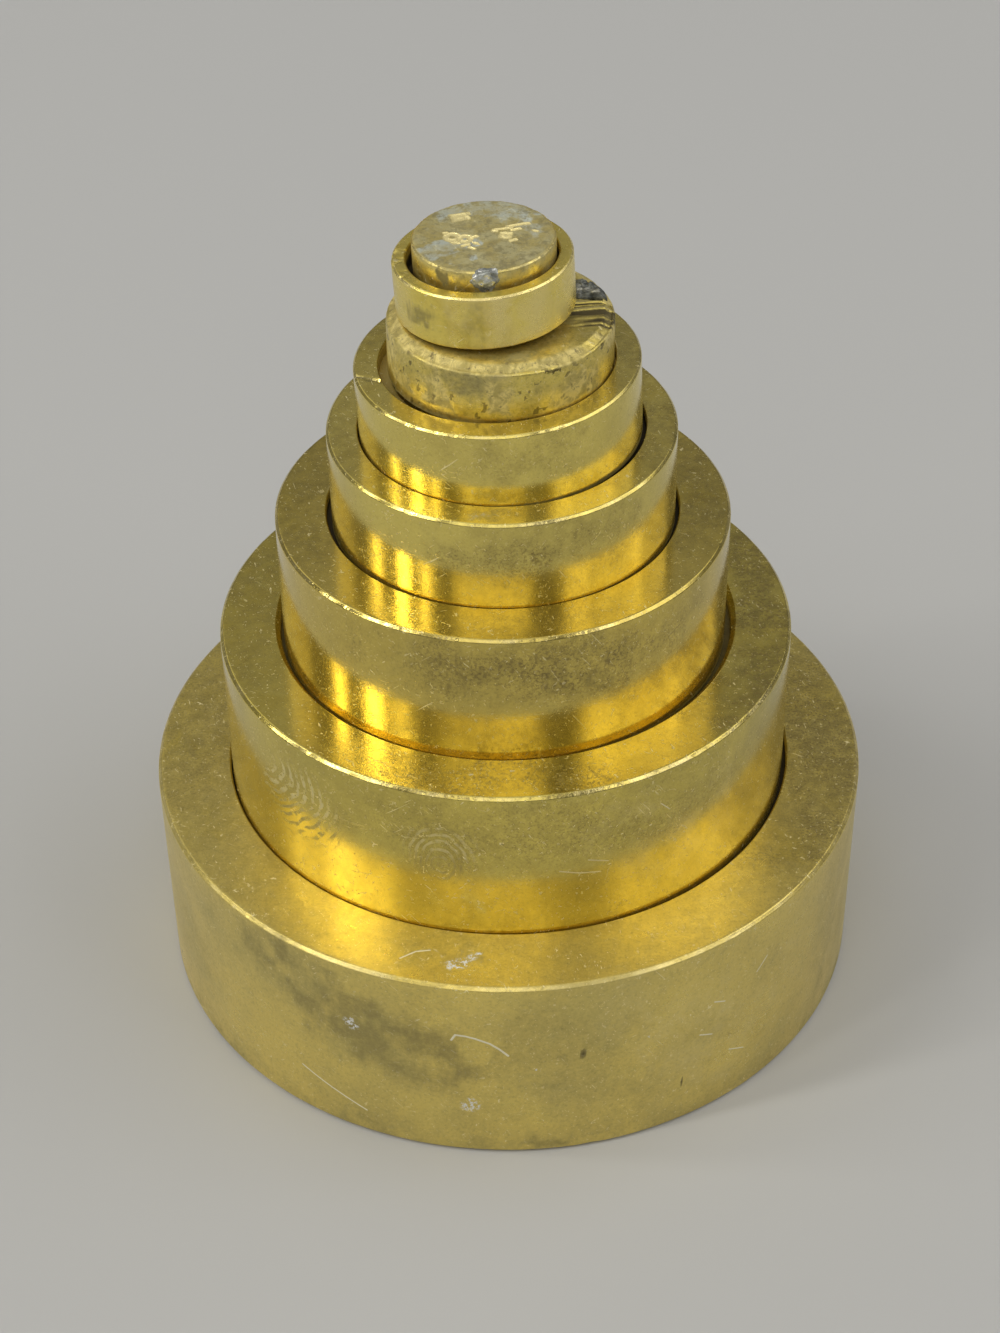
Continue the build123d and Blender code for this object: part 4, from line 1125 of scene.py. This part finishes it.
def solder_drop():
    """Drop of solder over the front edge of weight 8, in that weight's local frame."""
    h = H[8]
    n, m = 96, 56
    verts, high = [], []
    for j in range(m + 1):
        f = pi * j / m
        for i in range(n):
            g = 2 * pi * i / n
            verts.append((sin(f) * cos(g), sin(f) * sin(g), cos(f)))
    v = np.array(verts)
    q = fbm(v, 1.7, 4, 131)
    q2 = fbm(v, 4.5, 3, 132)
    k = 1 + .20 * q + .05 * q2
    # wide on the disc's edge, its tail running down the wall
    x = v[:, 0] * k * (.34 + .50 * smooth(v[:, 2], -.75, .50) + .03 * q2) + .04 + .08 * v[:, 2] * q
    zz = np.minimum(v[:, 2] * k * .92 + 1.28, h + .06 + .05 * q)
    R8 = R[8]
    over = smooth(zz, h - .25, h + .02)
    outward = .03 + .10 * smooth(zz, .95, 1.40) + .05 * q2 * smooth(zz, 1.0, 1.4)
    side = np.clip(-v[:, 1] * k, -1, 1)
    y = -(R8 - .05) - np.where(side > 0, side * (outward + .05), side * (.30 + .28 * over))
    # follow the curve of the wall
    y = y + (R8 - np.sqrt(np.maximum(R8 ** 2 - x ** 2, 0)))
    # below the rim of the weight underneath it keeps clear of that rim
    rad = np.hypot(x, y)
    lim = R8 + .08 + .20 * smooth(zz, 1.05, 1.35)
    s = np.minimum(1, lim / rad)
    x, y = x * s, y * s
    me = bpy.data.meshes.new('adjusting_solder')
    faces = []
    for j in range(m):
        for i in range(n):
            a, b = j * n + i, j * n + (i + 1) % n
            faces.append((a, a + n, b + n, b))
    me.from_pydata([(a * MM, b * MM, c * MM) for a, b, c in zip(x, y, zz)], [], faces)
    import bmesh
    bm = bmesh.new()
    bm.from_mesh(me)
    bmesh.ops.remove_doubles(bm, verts=bm.verts, dist=1e-6)
    bmesh.ops.recalc_face_normals(bm, faces=bm.faces)
    bm.to_mesh(me)
    bm.free()
    at = me.attributes.new('high', 'FLOAT', 'POINT')
    hv = np.array([.5 + .5 * math.sin(w.co.x * 9000) * math.cos(w.co.z * 7000) for w in me.vertices], np.float32)
    at.data.foreach_set('value', hv)
    me.shade_smooth()
    o = bpy.data.objects.new('adjusting_solder', me)
    bpy.context.scene.collection.objects.link(o)
    me.materials.append(soft_metal('dull_solder', (.24, .25, .225), (.56, .58, .53), (.88, .88, .82), .46, 8.0, .8))
    o.matrix_world = matrix_of(8)
    return o


# ------------------------------------------------------------------ build and attach
NODE = {1: 'weight_1_base_cup', 2: 'weight_2_cup', 3: 'weight_3_cup', 4: 'weight_4_cup', 5: 'weight_5_cup',
        6: 'weight_6_inverted_cup', 7: 'weight_7_cup', 8: 'weight_8_solid_disc'}
made = {1: weight_1(), 2: weight_2(), 3: weight_3(), 4: weight_4(), 5: weight_5(), 6: weight_6(), 7: weight_7(), 8: weight_8()}
for k, o in made.items():
    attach(o, 'weight_%d' % k)
    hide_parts(NODE[k])
lead = lead_plug()
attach(lead, 'weight_6')
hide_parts('adjusting_lead_plug')
drop = solder_drop()
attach(drop, 'weight_8')
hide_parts('adjusting_solder_drop')

# ------------------------------------------------------------------ floor, light, camera
fm = bpy.data.meshes.new('floor')
fm.from_pydata([(-2, -2, 0), (2, -2, 0), (2, 2, 0), (-2, 2, 0)], [], [(0, 1, 2, 3)])
floor = bpy.data.objects.new('floor', fm)
bpy.context.scene.collection.objects.link(floor)
floor.location.z = -0.00002
mt = bpy.data.materials.new('pale_floor')
mt.use_nodes = True
bs = mt.node_tree.nodes['Principled BSDF']
bs.inputs['Base Color'].default_value = (.52, .52, .505, 1)
bs.inputs['Roughness'].default_value = .75
bs.inputs['Specular IOR Level'].default_value = .25
fm.materials.append(mt)

world = bpy.data.worlds.new('studio')
bpy.context.scene.world = world
world.use_nodes = True
world.node_tree.nodes['Background'].inputs['Color'].default_value = (.98, .98, 1.0, 1)
world.node_tree.nodes['Background'].inputs['Strength'].default_value = .16


def softbox(name, az, el, dist, w, h, power, colour=(1, 1, 1), aim=(0, 0, .022)):
    """Area light at azimuth az from the camera's side towards +X, elevation el, facing the object."""
    L = bpy.data.lights.new(name, 'AREA')
    L.shape = 'RECTANGLE'
    L.size, L.size_y = w, h
    L.energy = power
    L.color = colour
    o = bpy.data.objects.new(name, L)
    bpy.context.scene.collection.objects.link(o)
    a, e = radians(az), radians(el)
    d = Vector((sin(a) * cos(e), -cos(a) * cos(e), sin(e)))
    aim = Vector(aim)
    o.location = aim + d * dist
    o.rotation_mode = 'QUATERNION'
    o.rotation_quaternion = d.to_track_quat('Z', 'Y')
    return o


def radiance(name, az, el, dist, w, h, L, colour=(1, 1, 1)):
    """A softbox given by the brightness it shows in a mirror."""
    return softbox(name, az, el, dist, w, h, L * pi * w * h, colour)


radiance('window_a', -94, 40, 1.2, .11, .80, 5.5, (1, .98, .93))
radiance('window_b', -71, 40, 1.2, .085, .80, 15.0, (1, .98, .93))
radiance('window_c', -54, 40, 1.2, .10, .80, 4.5, (1, .98, .93))
radiance('front_soft', -8, 45, 1.4, 1.0, .8, 1.25, (1, .98, .95))
radiance('right_soft', 50, 42, 1.3, .34, .60, 1.9, (1, .98, .95))
radiance('right_mid', 82, 42, 1.3, .75, .75, 1.50, (1, .98, .95))
radiance('right_far', 118, 42, 1.3, .75, .75, .90, (1, .98, .95))
radiance('left_far', -138, 42, 1.3, .70, .70, .60, (1, .98, .95))
radiance('overhead', 0, 88, 1.5, 1.3, 1.3, .60, (1, 1, 1))
radiance('back_soft', 180, 44, 1.6, 1.2, .7, .13, (1, .98, .95))

cam_data = bpy.data.cameras.new('camera')
cam = bpy.data.objects.new('camera', cam_data)
bpy.context.scene.collection.objects.link(cam)
bpy.context.scene.camera = cam
cam_data.sensor_fit = 'AUTO'
cam_data.sensor_width = 36.0
cam_data.lens = 2494.56 * 36.0 / 1333.0
cam_data.clip_start, cam_data.clip_end = .01, 20
el, dist, roll = radians(38.14), 6.995, -.0144
c = Vector((-.0206, -dist * cos(el), dist * sin(el) + .8882)) * R1 * MM
fwd = Vector((0, cos(el), -sin(el)))
up0 = Vector((0, sin(el), cos(el)))
right0 = Vector((1, 0, 0))
right = right0 * cos(roll) + up0 * sin(roll)
up = -right0 * sin(roll) + up0 * cos(roll)
cam.matrix_world = Matrix(((right.x, up.x, -fwd.x, c.x), (right.y, up.y, -fwd.y, c.y), (right.z, up.z, -fwd.z, c.z), (0, 0, 0, 1)))

scene = bpy.context.scene
scene.view_settings.view_transform = 'Standard'
scene.view_settings.look = 'None'
scene.view_settings.exposure = 0.0
scene.view_settings.gamma = 1.0
